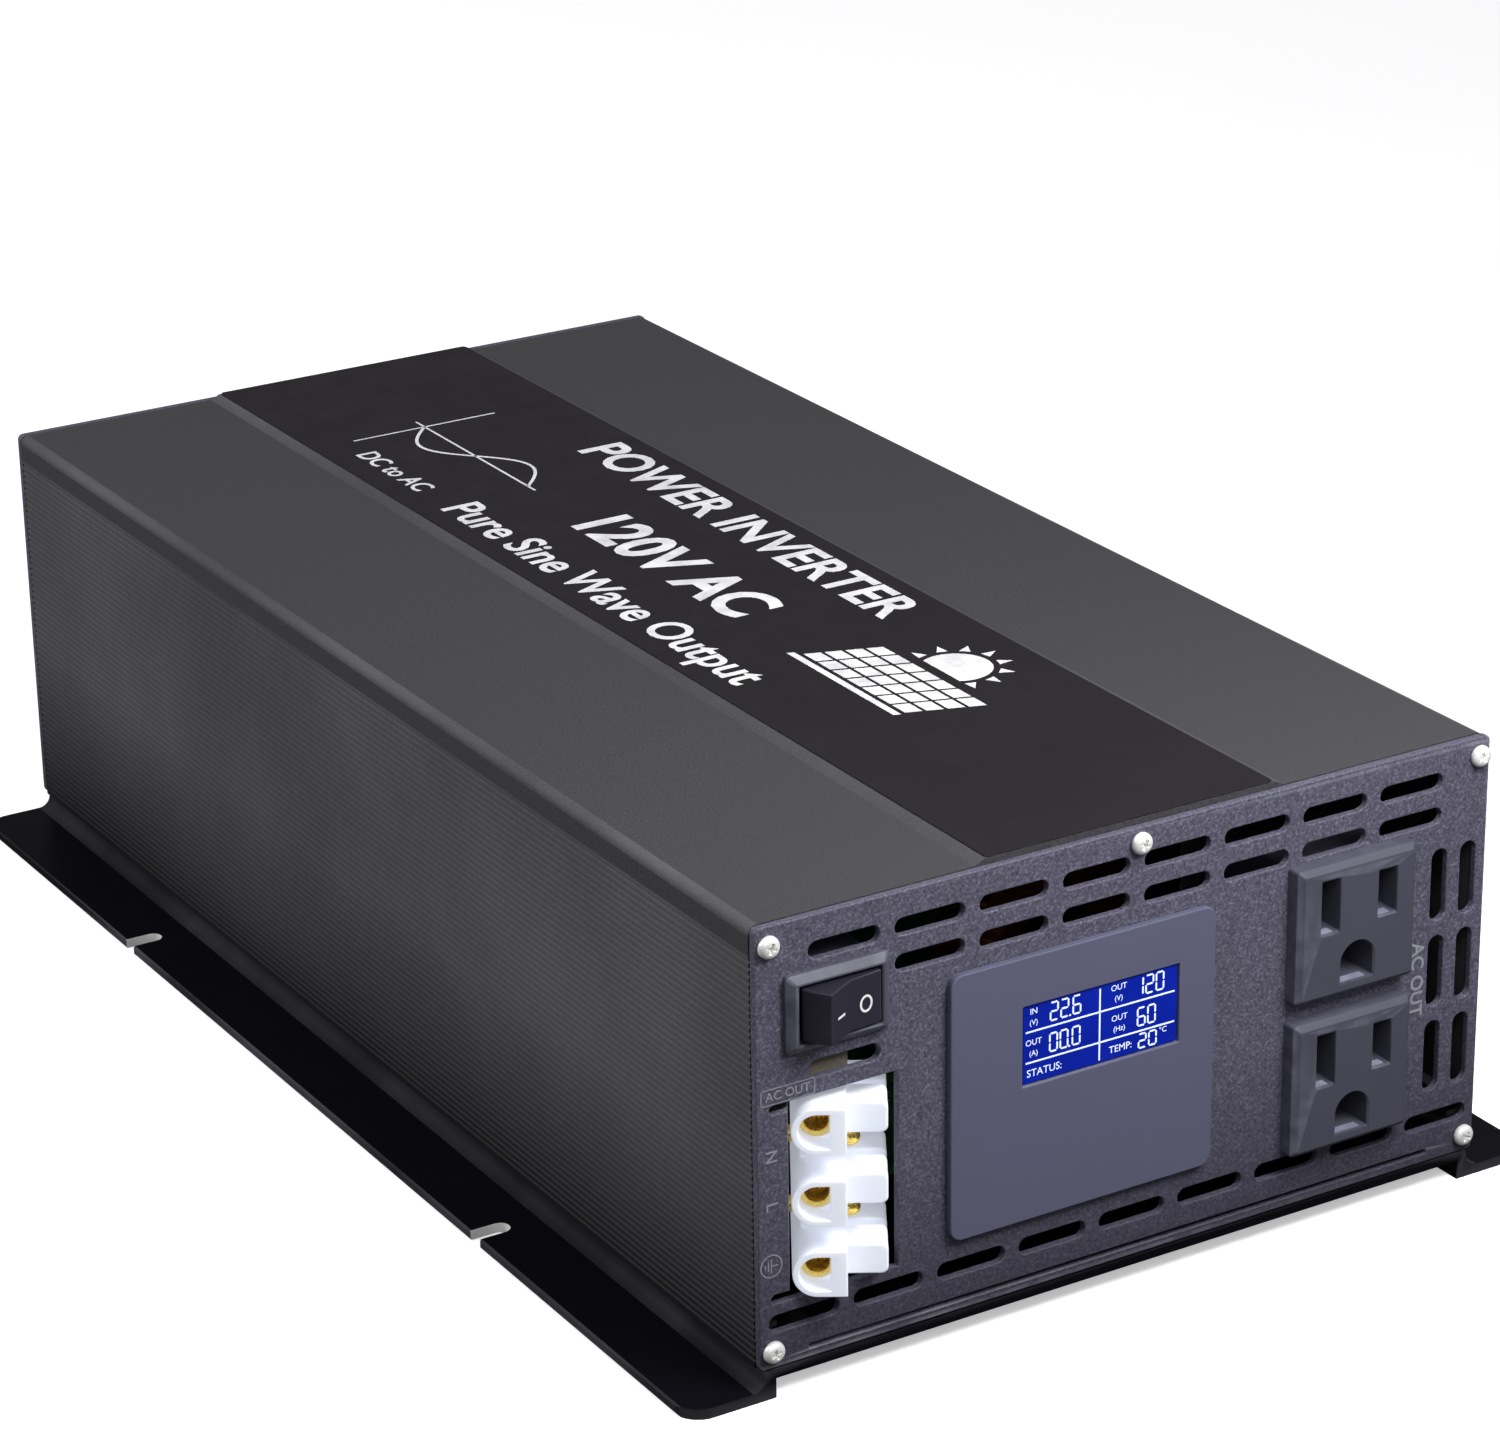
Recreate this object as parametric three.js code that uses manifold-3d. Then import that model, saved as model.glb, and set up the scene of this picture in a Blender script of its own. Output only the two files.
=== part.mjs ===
// A 12 V DC to AC power inverter, built as the assembly that comes apart on a bench.
// Millimetres. X runs along the front panel, Y from the front panel to the rear, +Z up.
// The origin is on the ground, under the centre of the whole object's bounding box.
import * as THREE from 'three';
import { mergeVertices } from 'three/addons/utils/BufferGeometryUtils.js';
import Module from 'manifold-3d';

const wasm = await Module();
wasm.setup();

// ---------------------------------------------------------------------------
// Driving dimensions
// ---------------------------------------------------------------------------

const CASE_WIDTH = 155.25;
const CASE_LENGTH = 304.7;
const PANEL_HEIGHT = 83.2;
const PANEL_BOTTOM = 5.8;
const PANEL_T = 1.6;
const WALL = 2.0;
const GAP = 0.3;

const STUD_REACH = 21;
const ROCKER_TILT = THREE.MathUtils.degToRad(18.4);
const ROCKER_SET_BACK = 0.8;
const ROCKER_CORNER = { x: 6.53, y: 5.4 };
const FRONT_REACH = Math.round(100 * (ROCKER_CORNER.x * Math.sin(ROCKER_TILT)
  + ROCKER_CORNER.y * Math.cos(ROCKER_TILT) - ROCKER_SET_BACK)) / 100;

// The bounding box runs from the rocker's raised end to the stud tips, and is centred on Y = 0.
const FRONT = -(CASE_LENGTH + STUD_REACH - FRONT_REACH) / 2;
const REAR = FRONT + CASE_LENGTH;
const MIDDLE = (FRONT + REAR) / 2;
const TOP = PANEL_BOTTOM + PANEL_HEIGHT;
const HALF_W = CASE_WIDTH / 2;

const BAND_HALF = 30.6;
const BAND_RISE = 0.95;
const BAND_SLOPE = 2.0;
const FILM_LIFT = 0.05;
const FILM_T = 0.24;
const FLANGE_HALF = 92;

const SCREW_X = 75.1;
const SCREW_LOW = PANEL_BOTTOM + 3.5;
const SCREW_HIGH = TOP - 3.5;
const PORT_R = 3.2;
const PORT_BORE = 1.45;
const BOARD_Z = 14;
const BOARD_T = 1.6;

const PANEL_SCREWS = [
  [-SCREW_X, SCREW_HIGH],
  [SCREW_X, SCREW_HIGH],
  [0.4, TOP - 2.8],
  [-SCREW_X, SCREW_LOW],
  [SCREW_X, SCREW_LOW],
];

// ---------------------------------------------------------------------------
// Solid helpers: three.js geometry in, manifold booleans, three.js geometry out
// ---------------------------------------------------------------------------

function solid(geometry) {
  const bare = new THREE.BufferGeometry();
  bare.setAttribute('position', geometry.getAttribute('position').clone());
  if (geometry.index) bare.setIndex(geometry.index.clone());
  const welded = mergeVertices(bare, 1e-4);
  return new wasm.Manifold(new wasm.Mesh({
    numProp: 3,
    vertProperties: new Float32Array(welded.getAttribute('position').array),
    triVerts: new Uint32Array(welded.index.array),
  }));
}

function join(...pieces) {
  return pieces.flat().reduce((sum, piece) => sum.add(piece));
}

function cut(body, ...tools) {
  return tools.flat().reduce((rest, tool) => rest.subtract(tool), body);
}

function box(x0, x1, y0, y1, z0, z1) {
  const geometry = new THREE.BoxGeometry(x1 - x0, y1 - y0, z1 - z0);
  geometry.translate((x0 + x1) / 2, (y0 + y1) / 2, (z0 + z1) / 2);
  return solid(geometry);
}

// Extrudes a shape drawn as (x, z) along Y, from y0 to y1.
function prismY(shape, y0, y1, curveSegments = 6) {
  const geometry = new THREE.ExtrudeGeometry(shape, {
    depth: y1 - y0, bevelEnabled: false, curveSegments,
  });
  geometry.rotateX(Math.PI / 2);
  geometry.translate(0, y1, 0);
  return solid(geometry);
}

// Extrudes a shape drawn as (x, y) along Z, from z0 to z1.
function prismZ(shape, z0, z1, curveSegments = 6) {
  const geometry = new THREE.ExtrudeGeometry(shape, {
    depth: z1 - z0, bevelEnabled: false, curveSegments,
  });
  geometry.translate(0, 0, z0);
  return solid(geometry);
}

// A cylinder or cone along Y, from y0 to y1.
function rodY(radius, y0, y1, x, z, segments = 20, endRadius = radius) {
  const geometry = new THREE.CylinderGeometry(endRadius, radius, y1 - y0, segments);
  geometry.translate(x, (y0 + y1) / 2, z);
  return solid(geometry);
}

function rodX(radius, x0, x1, y, z, segments = 16) {
  const geometry = new THREE.CylinderGeometry(radius, radius, x1 - x0, segments);
  geometry.rotateZ(Math.PI / 2);
  geometry.translate((x0 + x1) / 2, y, z);
  return solid(geometry);
}

function rodZ(radius, z0, z1, x, y, segments = 20, endRadius = radius) {
  const geometry = new THREE.CylinderGeometry(endRadius, radius, z1 - z0, segments);
  geometry.rotateX(Math.PI / 2);
  geometry.translate(x, y, (z0 + z1) / 2);
  return solid(geometry);
}

function polygon(points) {
  const shape = new THREE.Shape();
  points.forEach(([u, v], i) => (i ? shape.lineTo(u, v) : shape.moveTo(u, v)));
  shape.closePath();
  return shape;
}

function roundedRect(u0, u1, v0, v1, radius) {
  const shape = new THREE.Shape();
  shape.moveTo(u0 + radius, v0);
  shape.lineTo(u1 - radius, v0);
  shape.absarc(u1 - radius, v0 + radius, radius, -Math.PI / 2, 0);
  shape.lineTo(u1, v1 - radius);
  shape.absarc(u1 - radius, v1 - radius, radius, 0, Math.PI / 2);
  shape.lineTo(u0 + radius, v1);
  shape.absarc(u0 + radius, v1 - radius, radius, Math.PI / 2, Math.PI);
  shape.lineTo(u0, v0 + radius);
  shape.absarc(u0 + radius, v0 + radius, radius, Math.PI, 1.5 * Math.PI);
  return shape;
}

// A plate with chamfered front edges, whose outline is a rounded rectangle facing -Y.
function chamferedBlock(u0, u1, v0, v1, radius, yFront, yBack, chamfer) {
  const bevel = 2 * chamfer;
  const inner = roundedRect(u0 + chamfer, u1 - chamfer, v0 + chamfer, v1 - chamfer, radius);
  const geometry = new THREE.ExtrudeGeometry(inner, {
    depth: bevel, bevelEnabled: true, bevelSegments: 1, curveSegments: 4,
    bevelThickness: chamfer, bevelSize: chamfer,
  });
  geometry.rotateX(Math.PI / 2);
  geometry.translate(0, yFront + chamfer + bevel, 0);
  const outline = roundedRect(u0, u1, v0, v1, radius + chamfer);
  return join(solid(geometry), prismY(outline, yFront + chamfer, yBack, 4))
    .intersect(box(u0 - 1, u1 + 1, yFront, yBack, v0 - 1, v1 + 1));
}

function material(color, roughness, metalness = 0) {
  return new THREE.MeshStandardMaterial({ color, roughness, metalness, flatShading: true });
}

const group = new THREE.Group();

function add(name, body, look, parent = group) {
  const mesh = body.getMesh();
  const geometry = new THREE.BufferGeometry();
  geometry.setAttribute('position', new THREE.BufferAttribute(mesh.vertProperties, 3));
  geometry.setIndex(new THREE.BufferAttribute(mesh.triVerts, 1));
  geometry.computeVertexNormals();
  const node = new THREE.Mesh(geometry, look);
  node.name = name;
  parent.add(node);
  return node;
}

// ---------------------------------------------------------------------------
// Materials
// ---------------------------------------------------------------------------

const ANODISED = material(0x3a3a3e, 0.55, 0.6);
const ANODISED_BASE = material(0x24242b, 0.5, 0.6);
const PANEL_PAINT = material(0x48485a, 0.7, 0.2);
const FILM = material(0x262226, 0.35);
const BEZEL_PLASTIC = material(0x585868, 0.6);
const LCD_GLASS = material(0x1432c8, 0.2);
const CIRCUIT_BOARD = material(0x1d5a35, 0.5);
const BLACK_PLASTIC = material(0x35353c, 0.55);
const ROCKER_PLASTIC = material(0x3c3c46, 0.45);
const NYLON = material(0xf2f2f5, 0.4);
const BRASS = material(0xc89a3c, 0.3, 1);
const BRIGHT_STEEL = material(0xd8d8dc, 0.25, 1);
const ZINC_STEEL = material(0x9a9ca0, 0.4, 0.9);
const FIBRE_SHEET = material(0x6b5f50, 0.8);
const FAN_PLASTIC = material(0x18181b, 0.5);
const RED_PLASTIC = material(0xb0201c, 0.45);
const BLACK_NYLON = material(0x1c1c1f, 0.5);
const FERRITE = material(0x3b3a3c, 0.7);
const ALUMINIUM = material(0xb4b6ba, 0.4, 1);
const CAN_SLEEVE = material(0x22283c, 0.35);
const COPPER = material(0xb06a35, 0.35, 1);
const FUSE_PLASTIC = material(0x2f8f4a, 0.35);

// ---------------------------------------------------------------------------
// Case: ribbed top shell, base tray with slotted flanges, two end panels, label film
// ---------------------------------------------------------------------------

const SHELL_CORNER = 1.8;
const SHELL_FRONT = FRONT + PANEL_T + GAP;
const SHELL_REAR = REAR - PANEL_T - GAP;

function screwPorts() {
  const ports = PANEL_SCREWS.map(([x, z]) => rodY(PORT_R, SHELL_FRONT, SHELL_REAR, x, z, 16));
  const outline = box(-HALF_W, HALF_W, SHELL_FRONT, SHELL_REAR, PANEL_BOTTOM, TOP);
  return join(ports).intersect(outline);
}

function boardLedges(side) {
  const wallFace = HALF_W - WALL;
  const x = [side * (wallFace + 0.4), side * (wallFace - 2.6)].sort((a, b) => a - b);
  const below = BOARD_Z - GAP;
  const above = BOARD_Z + BOARD_T + GAP;
  const shelf = box(x[0], x[1], SHELL_FRONT, SHELL_REAR, below - 0.9, below);
  const keeper = box(x[0], x[1], SHELL_FRONT, SHELL_REAR, above, above + 0.9);
  return [shelf, keeper];
}

const HOOK_INNER = 65.6;
const HOOK_T = 1.4;
const HOOK_REACH = 4.8;
const LIP_Z = 8.0;
const LIP_T = 1.6;

// The lip that the base tray's hook holds down.
function shellLip(side) {
  const x = [side * (HOOK_INNER + HOOK_T + 0.7), side * (SCREW_X - 2)].sort((a, b) => a - b);
  return box(x[0], x[1], SHELL_FRONT, SHELL_REAR, LIP_Z, LIP_Z + LIP_T);
}

function topShell() {
  const r = SHELL_CORNER;
  const bandFoot = BAND_HALF + BAND_SLOPE;
  const innerX = HALF_W - WALL;
  const innerZ = TOP - WALL;
  const outline = new THREE.Shape();
  outline.moveTo(-HALF_W, PANEL_BOTTOM);
  outline.lineTo(-innerX, PANEL_BOTTOM);
  outline.lineTo(-innerX, innerZ);
  outline.lineTo(innerX, innerZ);
  outline.lineTo(innerX, PANEL_BOTTOM);
  outline.lineTo(HALF_W, PANEL_BOTTOM);
  outline.lineTo(HALF_W, TOP - r);
  outline.absarc(HALF_W - r, TOP - r, r, 0, Math.PI / 2);
  outline.lineTo(bandFoot, TOP);
  outline.lineTo(BAND_HALF, TOP + BAND_RISE);
  outline.lineTo(-BAND_HALF, TOP + BAND_RISE);
  outline.lineTo(-bandFoot, TOP);
  outline.lineTo(-HALF_W + r, TOP);
  outline.absarc(-HALF_W + r, TOP - r, r, Math.PI / 2, Math.PI);
  outline.closePath();
  const wall = prismY(outline, SHELL_FRONT, SHELL_REAR);
  const sides = [-1, 1].flatMap((side) => [...boardLedges(side), shellLip(side)]);
  const bores = PANEL_SCREWS.map(([x, z]) => rodY(PORT_BORE, FRONT, REAR, x, z, 12));
  return cut(join(wall, screwPorts(), sides), bores);
}

const FLOOR_T = 1.8;
const FLOOR_TOP = PANEL_BOTTOM - 0.2;
const FLANGE_T = 2.0;
const NECK_OUTER = 76.4;
const NECK_T = 2.0;
const NECK_FILLET = 2.6;
const FLANGE_CORNER = 5;
const SLOT_SPACING = 151.4;
const SLOT_WIDTH = 4.0;
const SLOT_DEPTH = 7.2;

function trayProfile() {
  const inner = NECK_OUTER - NECK_T;
  const floorBottom = FLOOR_TOP - FLOOR_T;
  const shape = new THREE.Shape();
  shape.moveTo(-FLANGE_HALF, 0);
  shape.lineTo(-inner, 0);
  shape.lineTo(-inner, floorBottom);
  shape.lineTo(inner, floorBottom);
  shape.lineTo(inner, 0);
  shape.lineTo(FLANGE_HALF, 0);
  shape.lineTo(FLANGE_HALF, FLANGE_T);
  shape.lineTo(NECK_OUTER + NECK_FILLET, FLANGE_T);
  shape.absarc(NECK_OUTER + NECK_FILLET, FLANGE_T + NECK_FILLET, NECK_FILLET,
    1.5 * Math.PI, Math.PI, true);
  shape.lineTo(NECK_OUTER, FLOOR_TOP);
  shape.lineTo(-NECK_OUTER, FLOOR_TOP);
  shape.lineTo(-NECK_OUTER, FLANGE_T + NECK_FILLET);
  shape.absarc(-NECK_OUTER - NECK_FILLET, FLANGE_T + NECK_FILLET, NECK_FILLET,
    0, -Math.PI / 2, true);
  shape.lineTo(-FLANGE_HALF, FLANGE_T);
  shape.closePath();
  return shape;
}

function trayHook(side) {
  const armZ = LIP_Z + LIP_T + 0.4;
  const stem = [side * HOOK_INNER, side * (HOOK_INNER + HOOK_T)].sort((a, b) => a - b);
  const arm = [side * HOOK_INNER, side * (HOOK_INNER + HOOK_REACH)].sort((a, b) => a - b);
  return join(
    box(stem[0], stem[1], SHELL_FRONT, SHELL_REAR, FLOOR_TOP - 0.5, armZ + HOOK_T),
    box(arm[0], arm[1], SHELL_FRONT, SHELL_REAR, armZ, armZ + HOOK_T),
  );
}

// An open-ended screw slot, cut in from the flange's outer edge.
function flangeSlot(side, y) {
  const end = FLANGE_HALF - SLOT_DEPTH + SLOT_WIDTH / 2;
  const x = [side * end, side * (FLANGE_HALF + 1)].sort((a, b) => a - b);
  return join(
    rodZ(SLOT_WIDTH / 2, -1, FLANGE_T + 1, side * end, y, 16),
    box(x[0], x[1], y - SLOT_WIDTH / 2, y + SLOT_WIDTH / 2, -1, FLANGE_T + 1),
  );
}

function baseTray() {
  const plan = roundedRect(-FLANGE_HALF, FLANGE_HALF, FRONT, REAR, FLANGE_CORNER);
  const tray = prismY(trayProfile(), FRONT, REAR).intersect(prismZ(plan, -1, PANEL_BOTTOM));
  const slots = [-1, 1].flatMap((side) => [-1, 1].map(
    (end) => flangeSlot(side, MIDDLE + end * SLOT_SPACING / 2)));
  return cut(join(tray, trayHook(-1), trayHook(1)), slots);
}

function labelFilm() {
  const z = TOP + BAND_RISE + FILM_LIFT;
  return box(-BAND_HALF + 0.3, BAND_HALF - 0.3, SHELL_FRONT, SHELL_REAR, z, z + FILM_T);
}

// ---------------------------------------------------------------------------
// End panels
// ---------------------------------------------------------------------------

const VENT_LONG = 14.1;
const VENT_SHORT = 3.25;
const VENT_PITCH = 17.15;

function panelBlank(y0, y1) {
  return prismY(roundedRect(-HALF_W, HALF_W, PANEL_BOTTOM, TOP, 1.2), y0, y1, 3);
}

// A slot with half-round ends, cut right through a panel.
function obround(x, z, width, height, y0, y1) {
  const radius = Math.min(width, height) / 2;
  const run = Math.abs(width - height) / 2;
  const turn = height > width ? Math.PI / 2 : 0;
  const dx = run * Math.cos(turn);
  const dz = run * Math.sin(turn);
  const shape = new THREE.Shape();
  shape.absarc(x + dx, z + dz, radius, turn - Math.PI / 2, turn + Math.PI / 2);
  shape.absarc(x - dx, z - dz, radius, turn + Math.PI / 2, turn + 1.5 * Math.PI);
  shape.closePath();
  return prismY(shape, y0 - 1, y1 + 1, 6);
}

function screwHoles(y0, y1) {
  return PANEL_SCREWS.map(([x, z]) => rodY(1.65, y0 - 1, y1 + 1, x, z, 12));
}

// Positions on the panels are measured up from the panel's bottom edge.
const DISPLAY = { x0: -39.6, x1: 16.1, z0: 14.5, z1: 65.3, rise: 1.5, corner: 2.5 };
const LCD = { x0: -24.75, x1: 8.4, z0: 40.7, z1: 55.9 };
const LCD_FRAME = 1.8;
const SWITCH = { x: -62, z: 66.3, width: 20.4, height: 14.4, rise: 2.2, bodyW: 18.4, bodyH: 12.6 };
const OUTLET = { x: 46, zUpper: 54.65, pitch: 30.2, width: 26.4, height: 26.2, rise: 3.8 };
const OUTLET_BODY = { width: 23.6, height: 23.6, depth: 20 };
const WINDOW = { x0: -71.4, x1: -49.4, z0: 12.4, z1: 50.0 };

function horizontalVents(y0, y1) {
  const topRow = [-3.5, -2.5, -1.5, -0.5, 0.5, 1.5, 2.5, 3.5].map((k) => [k * VENT_PITCH, 76.6]);
  const secondRow = [-2.5, -1.5, -0.5, 0.5, 1.5, 2.5, 3.5].map((k) => [k * VENT_PITCH, 69.9]);
  const bottomRow = [-4, -3, -2, -1, 0, 1, 2, 3, 4].map((k) => [k * VENT_PITCH, 8.5]);
  const underSwitch = [[-3.5 * VENT_PITCH, 54.7]];
  return [...topRow, ...secondRow, ...bottomRow, ...underSwitch].map(
    ([x, z]) => obround(x, PANEL_BOTTOM + z, VENT_LONG, VENT_SHORT, y0, y1));
}

function verticalVents(y0, y1) {
  return [67.1, 73.65].flatMap((x) => [56.0, 38.85, 21.7].map(
    (z) => obround(x, PANEL_BOTTOM + z, 3.5, 14.2, y0, y1)));
}

function terminalWindow(y0, y1) {
  const z0 = PANEL_BOTTOM + WINDOW.z0;
  const z1 = PANEL_BOTTOM + WINDOW.z1;
  const side = [z0 + 0.9, z1 - 1.1].map((z) => obround(WINDOW.x0 - 1.2, z, 5, 1.7, y0, y1));
  return join(box(WINDOW.x0, WINDOW.x1, y0 - 1, y1 + 1, z0, z1), side);
}

function frontPanel() {
  const y0 = FRONT;
  const y1 = FRONT + PANEL_T;
  const lcdHole = box(LCD.x0 - LCD_FRAME - GAP, LCD.x1 + LCD_FRAME + GAP, y0 - 1, y1 + 1,
    PANEL_BOTTOM + LCD.z0 - LCD_FRAME - GAP, PANEL_BOTTOM + LCD.z1 + LCD_FRAME + GAP);
  const switchHole = box(SWITCH.x - SWITCH.bodyW / 2 - GAP, SWITCH.x + SWITCH.bodyW / 2 + GAP,
    y0 - 1, y1 + 1, PANEL_BOTTOM + SWITCH.z - SWITCH.bodyH / 2 - GAP,
    PANEL_BOTTOM + SWITCH.z + SWITCH.bodyH / 2 + GAP);
  const outletHoles = [0, 1].map((k) => {
    const z = PANEL_BOTTOM + OUTLET.zUpper - k * OUTLET.pitch;
    const w = OUTLET_BODY.width / 2 + GAP;
    const h = OUTLET_BODY.height / 2 + GAP;
    return box(OUTLET.x - w, OUTLET.x + w, y0 - 1, y1 + 1, z - h, z + h);
  });
  const drainSlot = box(-67.6, 66.8, y0 - 1, y1 + 1, PANEL_BOTTOM + 1.7, PANEL_BOTTOM + 2.6);
  return cut(panelBlank(y0, y1), horizontalVents(y0, y1), verticalVents(y0, y1),
    terminalWindow(y0, y1), lcdHole, switchHole, outletHoles, drainSlot, screwHoles(y0, y1));
}

const FAN = { x: 0, z: PANEL_BOTTOM + 41, size: 60, depth: 20, bore: 28.4, holePitch: 50 };
const STUD_X = 53;
const STUD_ZS = [PANEL_BOTTOM + 27, PANEL_BOTTOM + 55];
const FAN_CORNERS = [[-1, -1], [1, -1], [-1, 1], [1, 1]].map(
  ([i, k]) => [FAN.x + i * FAN.holePitch / 2, FAN.z + k * FAN.holePitch / 2]);

function rearPanel() {
  const y0 = REAR - PANEL_T;
  const y1 = REAR;
  const fanHole = rodY(27.6, y0 - 1, y1 + 1, FAN.x, FAN.z, 40);
  const fanScrewHoles = FAN_CORNERS.map(([x, z]) => rodY(1.9, y0 - 1, y1 + 1, x, z, 12));
  const studHoles = [-1, 1].flatMap((side) => STUD_ZS.map(
    (z) => rodY(7.2, y0 - 1, y1 + 1, side * STUD_X, z, 24)));
  const vents = [-4, -3, -2, -1, 0, 1, 2, 3, 4].map(
    (k) => obround(k * VENT_PITCH, PANEL_BOTTOM + 6.2, VENT_LONG, VENT_SHORT, y0, y1));
  return cut(panelBlank(y0, y1), fanHole, fanScrewHoles, studHoles, vents, screwHoles(y0, y1));
}

// ---------------------------------------------------------------------------
// Fasteners
// ---------------------------------------------------------------------------

// A pan-head cross-recess screw along Y, its head towards -Y and its seat at y = 0.
function panScrew(headR, headH, shankR, length) {
  const profile = [
    new THREE.Vector2(0, 0),
    new THREE.Vector2(headR, 0),
    new THREE.Vector2(headR * 0.96, headH * 0.45),
    new THREE.Vector2(headR * 0.72, headH * 0.85),
    new THREE.Vector2(headR * 0.38, headH),
    new THREE.Vector2(0, headH),
  ];
  const head = new THREE.LatheGeometry(profile, 12);
  head.rotateX(Math.PI);
  const recessDepth = headH * 0.6;
  const arm = headR * 0.56;
  const slot = headR * 0.14;
  return cut(
    join(solid(head), rodY(shankR, -headH * 0.3, length, 0, 0, 8)),
    box(-arm, arm, -headH - 1, -headH + recessDepth, -slot, slot),
    box(-slot, slot, -headH - 1, -headH + recessDepth, -arm, arm),
  );
}

const PANEL_SCREW_SEAT = 0.1;

function addPanelScrews() {
  const body = panScrew(2.05, 1.6, 1.2, 9);
  PANEL_SCREWS.forEach(([x, z], i) => {
    const front = add(`front_screw_${i + 1}`, body, BRIGHT_STEEL);
    front.position.set(x, FRONT - PANEL_SCREW_SEAT, z);
    const rear = add(`rear_screw_${i + 1}`, body, BRIGHT_STEEL);
    rear.position.set(x, REAR + PANEL_SCREW_SEAT, z);
    rear.rotation.z = Math.PI;
  });
}

// ---------------------------------------------------------------------------
// Display: moulded bezel, LCD module, display board
// ---------------------------------------------------------------------------

const LCD_RECESS = 0.9;
const LCD_DEPTH = 5.0;

function displayBezel() {
  const z0 = PANEL_BOTTOM + DISPLAY.z0;
  const z1 = PANEL_BOTTOM + DISPLAY.z1;
  const face = FRONT - DISPLAY.rise;
  const plate = chamferedBlock(DISPLAY.x0, DISPLAY.x1, z0, z1, DISPLAY.corner,
    face, FRONT - 0.05, 0.35);
  const lcdZ0 = PANEL_BOTTOM + LCD.z0;
  const lcdZ1 = PANEL_BOTTOM + LCD.z1;
  const collar = box(LCD.x0 - LCD_FRAME, LCD.x1 + LCD_FRAME, FRONT - 0.5, FRONT + 3.4,
    lcdZ0 - LCD_FRAME, lcdZ1 + LCD_FRAME);
  const opening = box(LCD.x0, LCD.x1, face - 1, FRONT + 5, lcdZ0, lcdZ1);
  return cut(join(plate, collar), opening);
}

function lcdModule() {
  const front = FRONT - DISPLAY.rise + LCD_RECESS;
  const glass = box(LCD.x0 + GAP, LCD.x1 - GAP, front, front + LCD_DEPTH,
    PANEL_BOTTOM + LCD.z0 + GAP, PANEL_BOTTOM + LCD.z1 - GAP);
  const frame = box(LCD.x0 - 3, LCD.x1 + 3, FRONT + 3.7, front + LCD_DEPTH,
    PANEL_BOTTOM + LCD.z0 - 3, PANEL_BOTTOM + LCD.z1 + 3);
  return join(glass, frame);
}

function displayBoard() {
  const y = FRONT - DISPLAY.rise + LCD_RECESS + LCD_DEPTH + GAP;
  return box(DISPLAY.x0 + 2, DISPLAY.x1 - 2, y, y + BOARD_T,
    PANEL_BOTTOM + 20, PANEL_BOTTOM + DISPLAY.z1 - 2);
}

// ---------------------------------------------------------------------------
// Rocker switch: snap-in housing and a rocker with a shallow V-shaped face, tipping about Z
// ---------------------------------------------------------------------------

const ROCKER_AXIS_Y = FRONT + ROCKER_SET_BACK;
const ROCKER_HEIGHT = 9.6;
const ROCKER_FOLD = 4.13;
const ROCKER_END = { x: 7.5, y: 2.49 };
const ROCKER_WAIST = 7.9;
const ROCKER_WELL = { halfX: 8.2, halfZ: 5.4, depth: 9 };

function switchHousing() {
  const z = PANEL_BOTTOM + SWITCH.z;
  const w = SWITCH.width / 2;
  const h = SWITCH.height / 2;
  const bezel = chamferedBlock(SWITCH.x - w, SWITCH.x + w, z - h, z + h, 0.4,
    FRONT - SWITCH.rise, FRONT - 0.05, 1.3);
  const body = box(SWITCH.x - SWITCH.bodyW / 2, SWITCH.x + SWITCH.bodyW / 2,
    FRONT - 0.5, FRONT + 14, z - SWITCH.bodyH / 2, z + SWITCH.bodyH / 2);
  const well = box(SWITCH.x - ROCKER_WELL.halfX, SWITCH.x + ROCKER_WELL.halfX,
    FRONT - 5, FRONT + ROCKER_WELL.depth, z - ROCKER_WELL.halfZ, z + ROCKER_WELL.halfZ);
  const blades = [-4.6, 4.6].map((dx) => box(SWITCH.x + dx - 0.4, SWITCH.x + dx + 0.4,
    FRONT + 13.5, FRONT + 22, z - 2.4, z + 2.4));
  return join(cut(join(bezel, body), well), blades);
}

// Drawn untipped around the pivot, with -Y outward.
function switchRocker() {
  const rear = 3.4;
  const shape = polygon([
    [0, -ROCKER_FOLD],
    [ROCKER_CORNER.x, -ROCKER_CORNER.y],
    [ROCKER_END.x, -ROCKER_END.y],
    [ROCKER_WAIST, 0],
    [4.2, rear],
    [-4.2, rear],
    [-ROCKER_WAIST, 0],
    [-ROCKER_END.x, -ROCKER_END.y],
    [-ROCKER_CORNER.x, -ROCKER_CORNER.y],
  ]);
  return prismZ(shape, -ROCKER_HEIGHT / 2, ROCKER_HEIGHT / 2);
}

function addSwitch() {
  add('switch_housing', switchHousing(), BLACK_PLASTIC);
  const rocker = add('switch_rocker', switchRocker(), ROCKER_PLASTIC);
  rocker.position.set(SWITCH.x, ROCKER_AXIS_Y, PANEL_BOTTOM + SWITCH.z);
  rocker.rotation.z = ROCKER_TILT;
}

// ---------------------------------------------------------------------------
// Outlets: two snap-in 15 A receptacles
// ---------------------------------------------------------------------------

const PRONG_SPACING = 12.7;
const PRONG_RISE = 5.2;
const EARTH_DROP = 6.8;

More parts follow.
